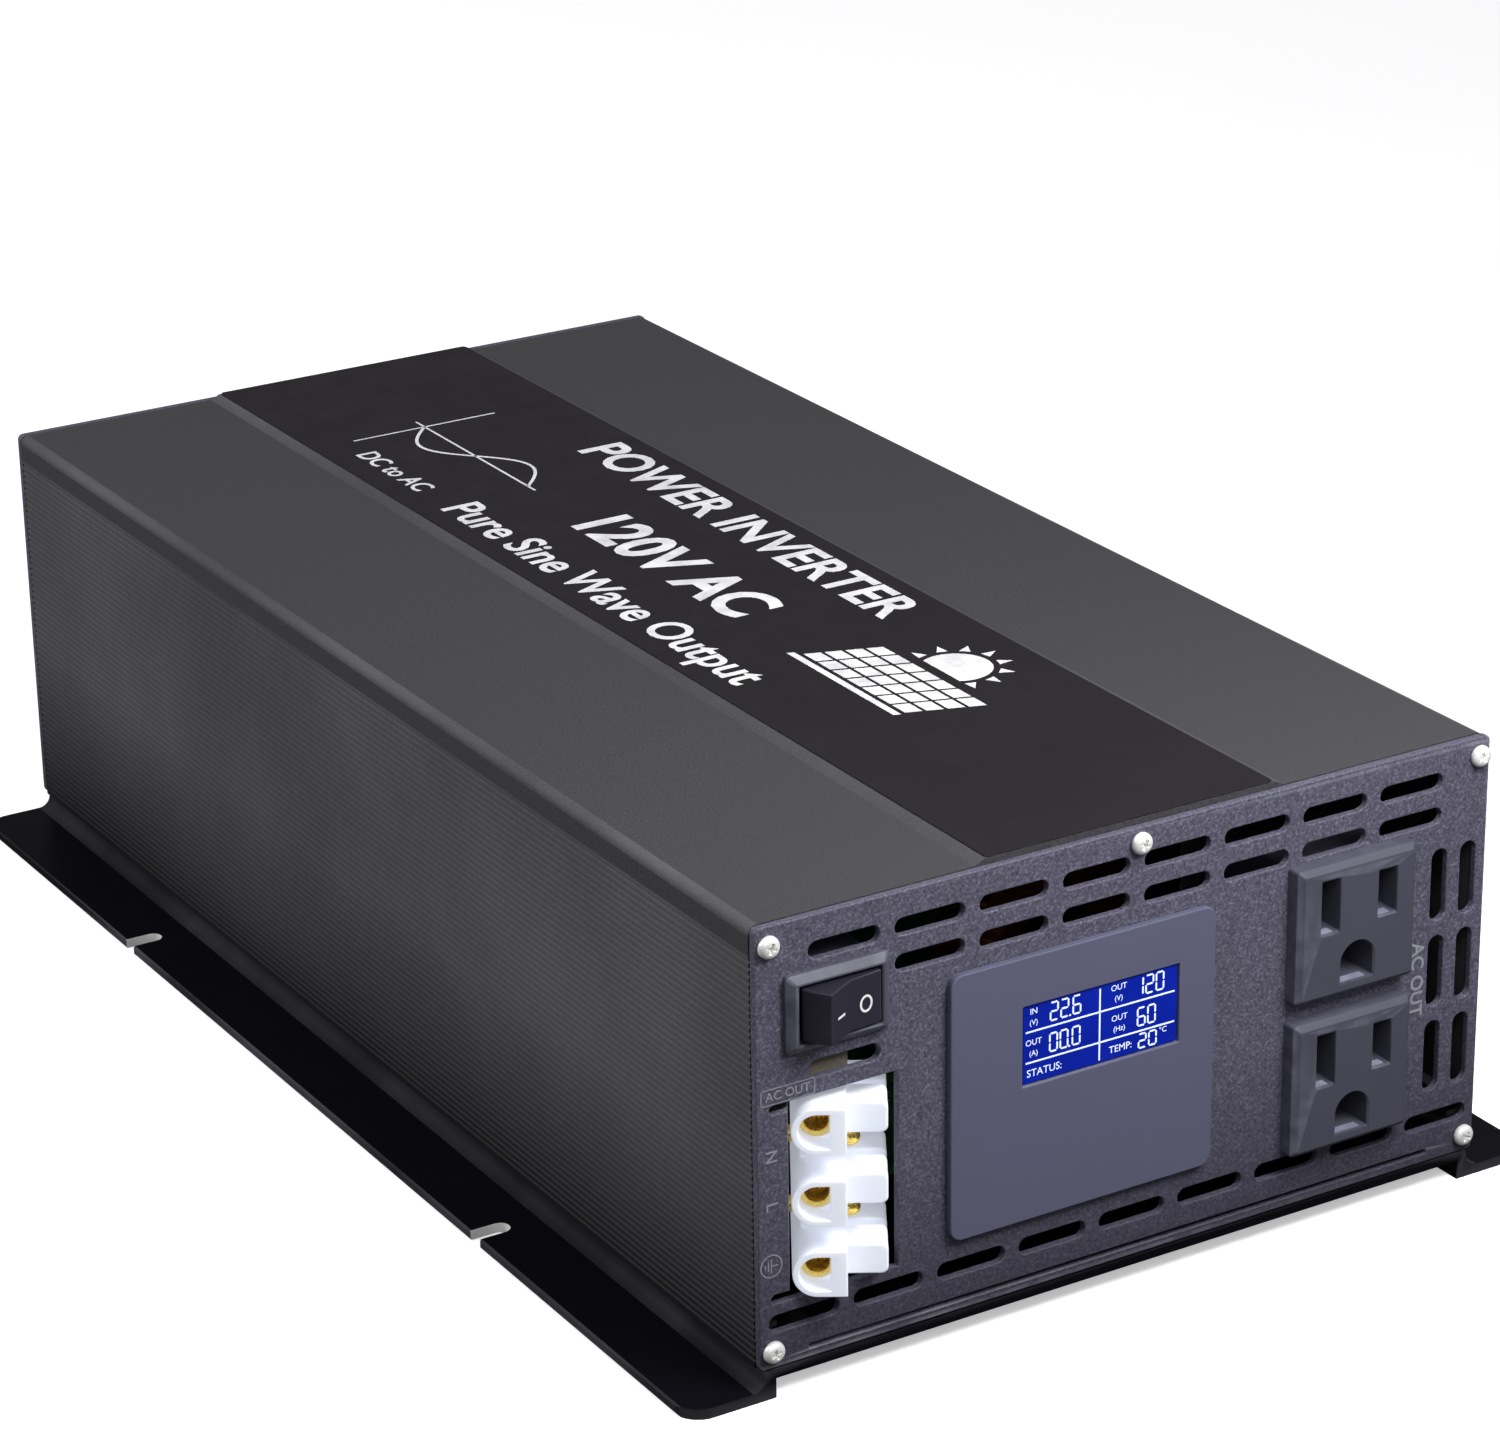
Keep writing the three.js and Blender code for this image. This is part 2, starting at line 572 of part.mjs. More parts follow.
function outlet(z) {
  const w = OUTLET.width / 2;
  const h = OUTLET.height / 2;
  const face = FRONT - OUTLET.rise;
  const holeEnd = face + 15;
  const cover = chamferedBlock(OUTLET.x - w, OUTLET.x + w, z - h, z + h, 0.5,
    face, FRONT - 0.05, 1.1);
  const body = box(OUTLET.x - OUTLET_BODY.width / 2, OUTLET.x + OUTLET_BODY.width / 2,
    FRONT - 0.5, FRONT + OUTLET_BODY.depth, z - OUTLET_BODY.height / 2, z + OUTLET_BODY.height / 2);
  const prong = (dx, height) => box(OUTLET.x + dx - 2.0, OUTLET.x + dx + 2.0, face - 1, holeEnd,
    z + PRONG_RISE - height / 2, z + PRONG_RISE + height / 2);
  const earth = new THREE.Shape();
  const r = 3.6;
  earth.moveTo(OUTLET.x - r, z - EARTH_DROP - r);
  earth.lineTo(OUTLET.x + r, z - EARTH_DROP - r);
  earth.lineTo(OUTLET.x + r, z - EARTH_DROP + 0.3);
  earth.absarc(OUTLET.x, z - EARTH_DROP + 0.3, r, 0, Math.PI);
  earth.closePath();
  const tabs = [-7, 0, 7].map((dx) => box(OUTLET.x + dx - 2.5, OUTLET.x + dx + 2.5,
    FRONT + OUTLET_BODY.depth - 0.5, FRONT + OUTLET_BODY.depth + 7, z - 0.4, z + 0.4));
  return join(cut(join(cover, body), prong(-PRONG_SPACING / 2, 10.2), prong(PRONG_SPACING / 2, 8.6),
    prismY(earth, face - 1, holeEnd, 8)), tabs);
}

// ---------------------------------------------------------------------------
// Output terminal block, turned to face the left so that its screws can be reached.
// In its own frame X is the screw direction, Y runs inward along the wire barrels.
// ---------------------------------------------------------------------------

const TERMINAL = { pitch: 13.53, z: PANEL_BOTTOM + 30.62 };
const TERMINAL_ORIGIN = { x: WINDOW.x0 + 0.3, y: FRONT - 0.2 };
const TERMINAL_YAW = THREE.MathUtils.degToRad(31);
const POLE_R = 4.4;
const POLE_FLAT = 9.5;
const BLOCK_LENGTH = 27;
const SNOUT_DEPTH = 4.5;
const TOWER_END = 16.6;
const TOWER_HALF = 2.9;
const TOWER_YS = [5.5, 14.7];
const TOWER_LENGTH = 7.2;
const CLAMP_YS = [TOWER_YS[0] + 3, TOWER_YS[1] + TOWER_LENGTH - 3];
const CLAMP_TIP = 3.6;
const BARREL_R = 3.0;
const BARREL_BORE = 2.1;
const BARREL_HOLE = BARREL_R + 0.15;
const MOUTH_FLAT = 6.6;
const MOUNT_Y = 13.5;
const MOUNT_SEAT = 9.4;
const POLE_OFFSETS = [1, 0, -1].map((k) => k * TERMINAL.pitch);

const terminalGroup = new THREE.Group();
terminalGroup.position.set(TERMINAL_ORIGIN.x, TERMINAL_ORIGIN.y, TERMINAL.z);
terminalGroup.rotation.z = -TERMINAL_YAW;
group.add(terminalGroup);

// A half-round outline around the pole's axis that ends in a flat at x = flat.
function poleOutline(z, r, flat) {
  const shape = new THREE.Shape();
  shape.moveTo(POLE_R, z - r);
  shape.lineTo(flat, z - r);
  shape.lineTo(flat, z + r);
  shape.lineTo(POLE_R, z + r);
  shape.absarc(POLE_R, z, r, Math.PI / 2, 1.5 * Math.PI);
  shape.closePath();
  return shape;
}

function terminalPole(z) {
  const tube = prismY(poleOutline(z, POLE_R, POLE_FLAT), 0, BLOCK_LENGTH, 8);
  const towers = TOWER_YS.map((y) => prismY(
    roundedRect(POLE_R, TOWER_END, z - TOWER_HALF, z + TOWER_HALF, 1.0), y, y + TOWER_LENGTH, 3));
  const mouth = prismY(poleOutline(z, BARREL_HOLE, MOUTH_FLAT), -1, SNOUT_DEPTH, 8);
  const rearMouth = prismY(poleOutline(z, POLE_R - 0.8, POLE_FLAT - 0.8),
    BLOCK_LENGTH - SNOUT_DEPTH, BLOCK_LENGTH + 1, 8);
  const bore = rodY(BARREL_HOLE, SNOUT_DEPTH, BLOCK_LENGTH - 1, POLE_R, z, 20);
  const shafts = CLAMP_YS.map((y) => rodX(2.1, POLE_R, TOWER_END + 1, y, z, 14));
  return cut(join(tube, towers), mouth, rearMouth, bore, shafts);
}

function terminalBlock() {
  const poles = POLE_OFFSETS.map(terminalPole);
  const bosses = [0.5, -0.5].map((k) => box(1.6, MOUNT_SEAT, MOUNT_Y - 3.2, MOUNT_Y + 3.2,
    k * TERMINAL.pitch - TERMINAL.pitch / 2 + POLE_R - 0.6,
    k * TERMINAL.pitch + TERMINAL.pitch / 2 - POLE_R + 0.6));
  const holes = [0.5, -0.5].map((k) => rodX(1.75, 0, MOUNT_SEAT + 1, MOUNT_Y,
    k * TERMINAL.pitch, 12));
  return cut(join(poles, bosses), holes);
}

function terminalBarrel(z) {
  const tube = rodY(BARREL_R, SNOUT_DEPTH + 0.1, BLOCK_LENGTH - 3.9, POLE_R, z, 20);
  const tapped = CLAMP_YS.map((y) => rodX(1.75, POLE_R, POLE_R + BARREL_R + 1, y, z, 12));
  return cut(tube, rodY(BARREL_BORE, 0, BLOCK_LENGTH, POLE_R, z, 18), tapped);
}

// A slotted grub screw along +X with a few coarse thread crests.
function terminalScrew() {
  const length = 10.9;
  const crests = 6;
  const profile = [new THREE.Vector2(0, 0), new THREE.Vector2(1.1, 0)];
  for (let i = 0; i < crests; i += 1) {
    profile.push(new THREE.Vector2(1.25, 0.5 + i * 0.9));
    profile.push(new THREE.Vector2(1.6, 0.95 + i * 0.9));
  }
  profile.push(new THREE.Vector2(1.25, 6.2));
  profile.push(new THREE.Vector2(1.25, 7.0));
  profile.push(new THREE.Vector2(1.85, 7.2));
  profile.push(new THREE.Vector2(1.85, length - 0.3));
  profile.push(new THREE.Vector2(1.5, length));
  profile.push(new THREE.Vector2(0, length));
  const body = new THREE.LatheGeometry(profile, 10);
  body.rotateZ(-Math.PI / 2);
  return cut(solid(body), box(length - 1, length + 1, -0.35, 0.35, -3, 3));
}

function terminalBracket() {
  const z0 = TERMINAL.z - TERMINAL.pitch - 3;
  const z1 = TERMINAL.z + TERMINAL.pitch + 3;
  const yaw = TERMINAL_YAW;
  const along = new THREE.Vector2(Math.sin(yaw), Math.cos(yaw));
  const across = new THREE.Vector2(-Math.cos(yaw), Math.sin(yaw));
  const at = (a, b) => [
    TERMINAL_ORIGIN.x + a * along.x + b * across.x,
    TERMINAL_ORIGIN.y + a * along.y + b * across.y,
  ];
  const panelBack = FRONT + PANEL_T + GAP;
  const foot = [-74.2, panelBack];
  const plate = polygon([foot, at(4.4, 0.4), at(24, 0.4), at(24, 1.6), at(6, 1.6),
    [-74.2, panelBack + 1.6]]);
  const holes = [0.5, -0.5].map((k) => {
    const hole = new THREE.CylinderGeometry(1.75, 1.75, 8, 12);
    hole.rotateZ(Math.PI / 2);
    hole.rotateZ(-yaw);
    const [x, y] = at(MOUNT_Y, 1);
    hole.translate(x, y, TERMINAL.z + k * TERMINAL.pitch);
    return solid(hole);
  });
  return cut(prismZ(plate, z0, z1), holes);
}

function addTerminals() {
  add('terminal_block', terminalBlock(), NYLON, terminalGroup);
  add('terminal_bracket', terminalBracket(), ZINC_STEEL);
  const grub = terminalScrew();
  POLE_OFFSETS.forEach((z, i) => {
    add(`terminal_barrel_${i + 1}`, terminalBarrel(z), BRASS, terminalGroup);
    const screw = add(`terminal_screw_${i + 1}`, grub, BRASS, terminalGroup);
    screw.position.set(CLAMP_TIP, CLAMP_YS[0], z);
  });
  const mount = panScrew(2.4, 2.6, 1.5, 12);
  [0.5, -0.5].forEach((k, i) => {
    const screw = add(`terminal_mount_screw_${i + 1}`, mount, BRASS, terminalGroup);
    screw.position.set(MOUNT_SEAT + 0.1, MOUNT_Y, k * TERMINAL.pitch);
    screw.rotation.z = Math.PI / 2;
  });
}

// A shelf behind the front panel, with its front edge folded up under the switch.
function insulationSheet() {
  const x0 = -74.5;
  const x1 = -58.1;
  const y = FRONT + 2.2;
  const z = PANEL_BOTTOM + 51.6;
  return join(box(x0, x1, y, FRONT + 26, z, z + 0.8), box(x0, x1, y, y + 0.8, z, z + 5.4));
}

// ---------------------------------------------------------------------------
// Cooling fan, guard and its screws
// ---------------------------------------------------------------------------

const FAN_BACK = REAR - PANEL_T - GAP;
const FAN_FRONT = FAN_BACK - FAN.depth;
const HUB_R = 12;

function fanFrame() {
  const half = FAN.size / 2;
  const shape = roundedRect(FAN.x - half, FAN.x + half, FAN.z - half, FAN.z + half, 4);
  const ring = cut(prismY(shape, FAN_FRONT, FAN_BACK, 4),
    rodY(FAN.bore, FAN_FRONT - 1, FAN_BACK + 1, FAN.x, FAN.z, 40));
  const hub = rodY(HUB_R, FAN_FRONT, FAN_FRONT + 3, FAN.x, FAN.z, 24);
  const struts = [45, 135, 225, 315].map((deg) => {
    const strut = new THREE.BoxGeometry(FAN.bore - HUB_R + 3, 2.4, 2.6);
    strut.translate((FAN.bore + HUB_R) / 2, FAN_FRONT + 1.5, 0);
    strut.rotateY(THREE.MathUtils.degToRad(deg));
    strut.translate(FAN.x, 0, FAN.z);
    return solid(strut);
  });
  const holes = FAN_CORNERS.map(([x, z]) => rodY(1.9, FAN_FRONT - 1, FAN_BACK + 1, x, z, 12));
  const post = rodY(1.5, FAN_FRONT + 2, FAN_FRONT + 8, FAN.x, FAN.z, 12);
  return join(cut(join(ring, hub, struts), holes), post);
}

function fanRotor() {
  const y0 = FAN_FRONT + 4;
  const y1 = FAN_BACK - 1.5;
  const blades = [];
  const count = 7;
  for (let i = 0; i < count; i += 1) {
    const blade = new THREE.BoxGeometry(FAN.bore - HUB_R - 0.2, 15, 1.4);
    blade.rotateX(THREE.MathUtils.degToRad(38));
    blade.translate((FAN.bore + HUB_R) / 2 - 0.9, 0, 0);
    blade.rotateY((i / count) * 2 * Math.PI);
    blade.translate(FAN.x, (y0 + y1) / 2, FAN.z);
    blades.push(solid(blade));
  }
  const swept = rodY(FAN.bore - 1, y0, y1, FAN.x, FAN.z, 40);
  const hub = rodY(HUB_R, y0, y1, FAN.x, FAN.z, 28);
  const socket = rodY(2.0, y0 - 1, FAN_FRONT + 9, FAN.x, FAN.z, 14);
  return cut(join(hub, join(blades).intersect(swept)), socket);
}

function guardRing(radius, y) {
  const ring = new THREE.TorusGeometry(radius, 0.8, 6, 28);
  ring.rotateX(Math.PI / 2);
  ring.translate(FAN.x, y, FAN.z);
  return solid(ring);
}

function guardSpoke(sign) {
  const reach = FAN.holePitch / Math.SQRT2 - 2.6;
  const bar = new THREE.CylinderGeometry(0.9, 0.9, 2 * reach, 8);
  bar.rotateX(Math.PI / 2);
  bar.rotateY(sign * Math.PI / 4);
  bar.translate(FAN.x, REAR + 1.3, FAN.z);
  return solid(bar);
}

function guardEye([x, z]) {
  const eye = new THREE.TorusGeometry(2.9, 0.8, 6, 12);
  eye.rotateX(Math.PI / 2);
  eye.translate(x, REAR + 1.2, z);
  return solid(eye);
}

function fanGuard() {
  const rings = [7, 13, 19, 25].map((radius) => guardRing(radius, REAR + 2.4));
  return join(rings, guardSpoke(1), guardSpoke(-1), FAN_CORNERS.map(guardEye));
}

function addFan() {
  add('fan_frame', fanFrame(), FAN_PLASTIC);
  add('fan_rotor', fanRotor(), FAN_PLASTIC);
  add('fan_guard', fanGuard(), BRIGHT_STEEL);
  const screw = panScrew(3.4, 2.4, 1.55, 22);
  FAN_CORNERS.forEach(([x, z], i) => {
    const node = add(`fan_screw_${i + 1}`, screw, BRIGHT_STEEL);
    node.position.set(x, REAR + 2.2, z);
    node.rotation.z = Math.PI;
  });
}

// ---------------------------------------------------------------------------
// Battery terminals: two positive and two negative studs in moulded insulators
// ---------------------------------------------------------------------------

const STUD_R = 3.9;
const INSULATOR_T = 5;
const NUT_SEAT = REAR + INSULATOR_T + 0.3;

function dcInsulator(side) {
  const x = side * STUD_X;
  const zMid = (STUD_ZS[0] + STUD_ZS[1]) / 2;
  const plateShape = roundedRect(x - 13, x + 13, zMid - 29, zMid + 29, 4);
  const plate = prismY(plateShape, REAR + 0.1, REAR + INSULATOR_T, 4);
  const bushes = STUD_ZS.map((z) => rodY(6.8, REAR - PANEL_T - 2, REAR + 1, x, z, 20));
  const bores = STUD_ZS.map((z) => rodY(STUD_R + 0.2, REAR - 10, REAR + 10, x, z, 20));
  return cut(join(plate, bushes), bores);
}

function dcStud() {
  const tip = REAR + STUD_REACH;
  const tail = REAR - 16;
  const thread = rodY(STUD_R, tail, tip - 1, 0, 0, 14);
  const chamfer = rodY(STUD_R, tip - 1, tip, 0, 0, 14, STUD_R - 0.8);
  const collar = rodY(7.5, REAR - PANEL_T - 4.6, REAR - PANEL_T - 2.3, 0, 0, 6);
  return join(thread, chamfer, collar);
}

function dcNut() {
  const hex = rodY(7.5, NUT_SEAT + 1.6, NUT_SEAT + 8, 0, 0, 6);
  const washer = rodY(8.6, NUT_SEAT, NUT_SEAT + 1.8, 0, 0, 24);
  return cut(join(hex, washer), rodY(STUD_R + 0.15, NUT_SEAT - 1, NUT_SEAT + 9, 0, 0, 18));
}

function addBatteryTerminals() {
  const poles = [
    { name: 'positive', side: 1, look: RED_PLASTIC },
    { name: 'negative', side: -1, look: BLACK_NYLON },
  ];
  const stud = dcStud();
  const nut = dcNut();
  poles.forEach(({ name, side, look }) => {
    add(`dc_insulator_${name}`, dcInsulator(side), look);
    STUD_ZS.forEach((z, i) => {
      const studNode = add(`dc_stud_${name}_${i + 1}`, stud, BRASS);
      studNode.position.set(side * STUD_X, 0, z);
      const nutNode = add(`dc_nut_${name}_${i + 1}`, nut, BRASS);
      nutNode.position.set(side * STUD_X, 0, z);
    });
  });
}

// ---------------------------------------------------------------------------
// Electronics on the main board
// ---------------------------------------------------------------------------

const BOARD_FRONT = FRONT + 36;
const BOARD_REAR = REAR - 24;
const DECK = BOARD_Z + BOARD_T + GAP;

function mainBoard() {
  const half = HALF_W - WALL - 0.5;
  return box(-half, half, BOARD_FRONT, BOARD_REAR, BOARD_Z, BOARD_Z + BOARD_T);
}

// Ferrite core around a wound bobbin, joined as one potted transformer.
function transformer(x, y) {
  const core = cut(
    box(x - 27, x + 27, y - 10, y + 10, DECK + 2, DECK + 44),
    box(x - 19, x - 9, y - 11, y + 11, DECK + 10, DECK + 36),
    box(x + 9, x + 19, y - 11, y + 11, DECK + 10, DECK + 36),
  );
  const coil = rodZ(17.5, DECK + 11, DECK + 35, x, y, 24);
  const feet = box(x - 20, x + 20, y - 17, y + 17, DECK, DECK + 3);
  return join(core, coil, feet);
}

function heatSink(side) {
  const wallFace = side * (HALF_W - WALL - 3.2);
  const x = [wallFace, wallFace - side * 5].sort((a, b) => a - b);
  const foot = [wallFace, wallFace - side * 16].sort((a, b) => a - b);
  const y0 = BOARD_FRONT + 30;
  const y1 = BOARD_REAR - 8;
  const spine = box(x[0], x[1], y0, y1, DECK + 1.5, DECK + 56);
  const base = box(foot[0], foot[1], y0, y1, DECK + 1.5, DECK + 5.5);
  const transistors = [];
  const count = 8;
  for (let i = 0; i < count; i += 1) {
    const y = y0 + 14 + (i * (y1 - y0 - 28)) / (count - 1);
    const inner = x[side > 0 ? 0 : 1];
    const tab = [inner + side * 0.5, inner - side * 4.6].sort((a, b) => a - b);
    transistors.push(box(tab[0], tab[1], y - 7.5, y + 7.5, DECK + 10, DECK + 30));
  }
  return join(spine, base, transistors);
}

function busCapacitor(x, y) {
  return join(
    rodZ(12.5, DECK, DECK + 46, x, y, 28),
    rodZ(12.5, DECK + 46, DECK + 47, x, y, 28, 11.5),
  );
}

function outputChoke(x, y) {
  const ring = new THREE.TorusGeometry(16, 7.5, 8, 24);
  ring.rotateX(Math.PI / 2);
  ring.translate(x, y, DECK + 24);
  const foot = box(x - 12, x + 12, y - 8, y + 8, DECK, DECK + 4);
  return join(solid(ring), foot);
}

function controlBoard() {
  return box(-38, 38, -66.8, -65.2, DECK, DECK + 42);
}

function fuseBank() {
  const y = BOARD_REAR - 14;
  const fuses = [];
  for (let i = 0; i < 6; i += 1) {
    const x = -25 + i * 10;
    fuses.push(box(x - 2.6, x + 2.6, y - 9.5, y + 9.5, DECK + 3, DECK + 15));
  }
  return join(box(-29, 29, y - 7, y + 7, DECK, DECK + 4), fuses);
}

function addElectronics() {
  add('main_board', mainBoard(), CIRCUIT_BOARD);
  add('transformer_1', transformer(0, 20), FERRITE);
  add('transformer_2', transformer(0, 66), FERRITE);
  add('heat_sink_left', heatSink(-1), ALUMINIUM);
  add('heat_sink_right', heatSink(1), ALUMINIUM);
  add('bus_capacitor_1', busCapacitor(-16, -26), CAN_SLEEVE);
  add('bus_capacitor_2', busCapacitor(16, -26), CAN_SLEEVE);
  add('output_choke', outputChoke(18, FRONT + 56), COPPER);
  add('control_board', controlBoard(), CIRCUIT_BOARD);
  add('fuse_bank', fuseBank(), FUSE_PLASTIC);
}

// ---------------------------------------------------------------------------
// Assembly
// ---------------------------------------------------------------------------

add('top_shell', topShell(), ANODISED);
add('base_tray', baseTray(), ANODISED_BASE);
add('front_panel', frontPanel(), PANEL_PAINT);
add('rear_panel', rearPanel(), PANEL_PAINT);
add('label_film', labelFilm(), FILM);
addPanelScrews();
add('display_bezel', displayBezel(), BEZEL_PLASTIC);
add('lcd_module', lcdModule(), LCD_GLASS);
add('display_board', displayBoard(), CIRCUIT_BOARD);
addSwitch();
add('outlet_upper', outlet(PANEL_BOTTOM + OUTLET.zUpper), BLACK_PLASTIC);
add('outlet_lower', outlet(PANEL_BOTTOM + OUTLET.zUpper - OUTLET.pitch), BLACK_PLASTIC);
addTerminals();
add('insulation_sheet', insulationSheet(), FIBRE_SHEET);
addFan();
addBatteryTerminals();
addElectronics();

export default group;
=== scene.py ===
"""Looks of the power inverter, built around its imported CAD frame.

Blender 4.5. The frame is in metres, +X along the front panel, +Y to the rear, +Z up.
Shapes are drawn here in millimetres in that same frame, and scaled as each mesh is made.
"""

import math

import bmesh
import bpy
from mathutils import Matrix, Vector


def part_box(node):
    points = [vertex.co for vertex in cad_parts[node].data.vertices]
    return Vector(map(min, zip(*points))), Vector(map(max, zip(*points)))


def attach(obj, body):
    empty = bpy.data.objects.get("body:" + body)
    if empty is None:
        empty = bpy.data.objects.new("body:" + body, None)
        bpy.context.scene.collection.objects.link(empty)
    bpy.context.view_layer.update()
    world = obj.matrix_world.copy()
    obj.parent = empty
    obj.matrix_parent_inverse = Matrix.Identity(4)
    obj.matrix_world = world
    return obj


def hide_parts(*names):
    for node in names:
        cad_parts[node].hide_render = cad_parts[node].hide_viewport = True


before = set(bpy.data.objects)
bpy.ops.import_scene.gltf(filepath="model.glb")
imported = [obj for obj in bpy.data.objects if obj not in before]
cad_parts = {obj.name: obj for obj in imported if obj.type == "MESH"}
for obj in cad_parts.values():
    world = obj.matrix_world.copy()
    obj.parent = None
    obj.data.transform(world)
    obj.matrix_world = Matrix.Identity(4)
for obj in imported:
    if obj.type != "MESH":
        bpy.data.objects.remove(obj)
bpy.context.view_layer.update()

MM = 0.001
SCENE = bpy.context.scene


def box_mm(node):
    """The lowest and highest corners of a CAD node, in millimetres."""
    low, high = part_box(node)
    return Vector(low) / MM, Vector(high) / MM


# -- Places taken from the frame -----------------------------

PANEL_LOW, PANEL_HIGH = box_mm("front_panel")
SHELL_LOW, SHELL_HIGH = box_mm("top_shell")
TRAY_LOW, TRAY_HIGH = box_mm("base_tray")
FRONT = PANEL_LOW.y
REAR = box_mm("rear_panel")[1].y
MIDDLE = (FRONT + REAR) / 2
PANEL_T = PANEL_HIGH.y - PANEL_LOW.y
HALF_W = PANEL_HIGH.x
BOTTOM = PANEL_LOW.z
TOP = PANEL_HIGH.z
# The face that mouldings on the front panel rest on, just clear of its paint.
SEAT = FRONT - 0.05


# -- Mesh helpers --------------------------------------------

SAME_POINT = 1e-8
SAME_CURVE_POINT = 1e-7
SLOT_END_STEPS = 10
WIRE_SIDES = 10
SHARP_ANGLE = 35
BROAD_WIDTH = 3 * MM
PRINT_T = 0.03


def linked(name, data):
    """A new object in the scene for a mesh, curve, light or camera."""
    obj = bpy.data.objects.new(name, data)
    SCENE.collection.objects.link(obj)
    return obj


def mesh_from(verts, faces):
    """A mesh from points in millimetres, its faces turned outward."""
    mesh = bpy.data.meshes.new("mesh")
    mesh.from_pydata([Vector(v) * MM for v in verts], [], faces)
    work = bmesh.new()
    work.from_mesh(mesh)
    bmesh.ops.remove_doubles(work, verts=work.verts, dist=SAME_POINT)
    bmesh.ops.recalc_face_normals(work, faces=work.faces)
    work.to_mesh(mesh)
    work.free()
    return mesh


def merge(*meshes):
    """Several meshes as one, each keeping its own closed surface."""
    work = bmesh.new()
    for mesh in meshes:
        work.from_mesh(mesh)
    joined = bpy.data.meshes.new("merged")
    work.to_mesh(joined)
    work.free()
    return joined


def moved(mesh, matrix):
    """A copy of a mesh, transformed by a matrix given in millimetres."""
    copy = mesh.copy()
    scaled = matrix.copy()
    scaled.translation = matrix.translation * MM
    copy.transform(scaled)
    if scaled.determinant() < 0:
        copy.flip_normals()
    return copy


def evaluated(obj):
    """The object's mesh with its modifiers applied. The object itself is removed."""
    bpy.context.view_layer.update()
    graph = bpy.context.evaluated_depsgraph_get()
    mesh = bpy.data.meshes.new_from_object(obj.evaluated_get(graph))
    bpy.data.objects.remove(obj)
    return mesh


def boolean(mesh, others, operation="DIFFERENCE"):
    """The mesh joined with, cut by or crossed with other closed meshes."""
    obj = linked("scratch", mesh)
    helpers = [linked("scratch", other) for other in others]
    for helper in helpers:
        step = obj.modifiers.new("boolean", "BOOLEAN")
        step.operation = operation
        step.solver = "EXACT"
        step.object = helper
    result = evaluated(obj)
    for helper in helpers:
        bpy.data.objects.remove(helper)
    return result


def bevelled(mesh, width, segments, angle):
    """The mesh with its sharp edges rounded to a width in millimetres."""
    obj = linked("scratch", mesh)
    step = obj.modifiers.new("bevel", "BEVEL")
    step.width = width * MM
    step.segments = segments
    step.limit_method = "ANGLE"
    step.angle_limit = math.radians(angle)
    return evaluated(obj)


def is_broad(mesh, face):
    """Tells a wide flat face from a narrow strip, such as a bevel or a facet of a curve."""
    if face.area < BROAD_WIDTH ** 2:
        return False
    corners = [mesh.vertices[i].co for i in face.vertices]
    longest = max((a - b).length for a, b in zip(corners, corners[1:] + corners[:1]))
    return face.area > BROAD_WIDTH * longest


def smooth(mesh, angle):
    """Smooth shading with sharp edges kept sharp and every broad face left flat and marked."""
    broad = [is_broad(mesh, face) for face in mesh.polygons]
    mesh.polygons.foreach_set("use_smooth", [not wide for wide in broad])
    mesh.set_sharp_from_angle(angle=math.radians(angle))
    mark = mesh.attributes.new("broad", "FLOAT", "FACE")
    mark.data.foreach_set("value", [float(wide) for wide in broad])


def skin(loops, bands):
    """The points of loops and the faces of that many bands, each between two neighbouring loops."""
    count = len(loops[0])
    verts = [point for loop in loops for point in loop]
    faces = []
    for k in range(bands):
        n = (k + 1) % len(loops)
        for i in range(count):
            j = (i + 1) % count
            faces.append((k * count + i, k * count + j, n * count + j, n * count + i))
    return verts, faces


def loft(loops):
    """A closed solid through loops that all have the same number of points."""
    count = len(loops[0])
    verts, faces = skin(loops, len(loops) - 1)
    faces.append(tuple(range(count))[::-1])
    faces.append(tuple(range(len(verts) - count, len(verts))))
    return mesh_from(verts, faces)


def ring_loft(loops):
    """A skin through loops that closes on itself, like a picture frame."""
    return mesh_from(*skin(loops, len(loops)))


def arc(cx, cy, radius, start, end, steps):
    """Points on an arc, angles in degrees, both ends included."""
    return [(cx + radius * math.cos(math.radians(start + (end - start) * i / steps)),
             cy + radius * math.sin(math.radians(start + (end - start) * i / steps)))
            for i in range(steps + 1)]


def rounded_rect(u0, u1, v0, v1, radius, steps):
    """A rounded rectangle as a list of (u, v) points, anticlockwise."""
    r = radius
    return (arc(u1 - r, v0 + r, r, -90, 0, steps) + arc(u1 - r, v1 - r, r, 0, 90, steps)
            + arc(u0 + r, v1 - r, r, 90, 180, steps) + arc(u0 + r, v0 + r, r, 180, 270, steps))


def stadium(u, v, width, height):
    """A slot with half-round ends."""
    r = min(width, height) / 2
    steps = SLOT_END_STEPS
    if width >= height:
        run = (width - height) / 2
        return arc(u + run, v, r, -90, 90, steps) + arc(u - run, v, r, 90, 270, steps)
    run = (height - width) / 2
    return arc(u, v + run, r, 0, 180, steps) + arc(u, v - run, r, 180, 360, steps)


def circle(u, v, radius, steps):
    return arc(u, v, radius, 0, 360 - 360 / steps, steps - 1)


def wall_y(loop, y):
    """A loop of (x, z) points placed at one depth."""
    return [(u, y, v) for u, v in loop]


def prism_y(loop, y0, y1):
    return loft([wall_y(loop, y0), wall_y(loop, y1)])


def prism_z(loop, z0, z1):
    return loft([[(u, v, z0) for u, v in loop], [(u, v, z1) for u, v in loop]])


def block(x0, x1, y0, y1, z0, z1):
    return prism_z([(x0, y0), (x1, y0), (x1, y1), (x0, y1)], z0, z1)


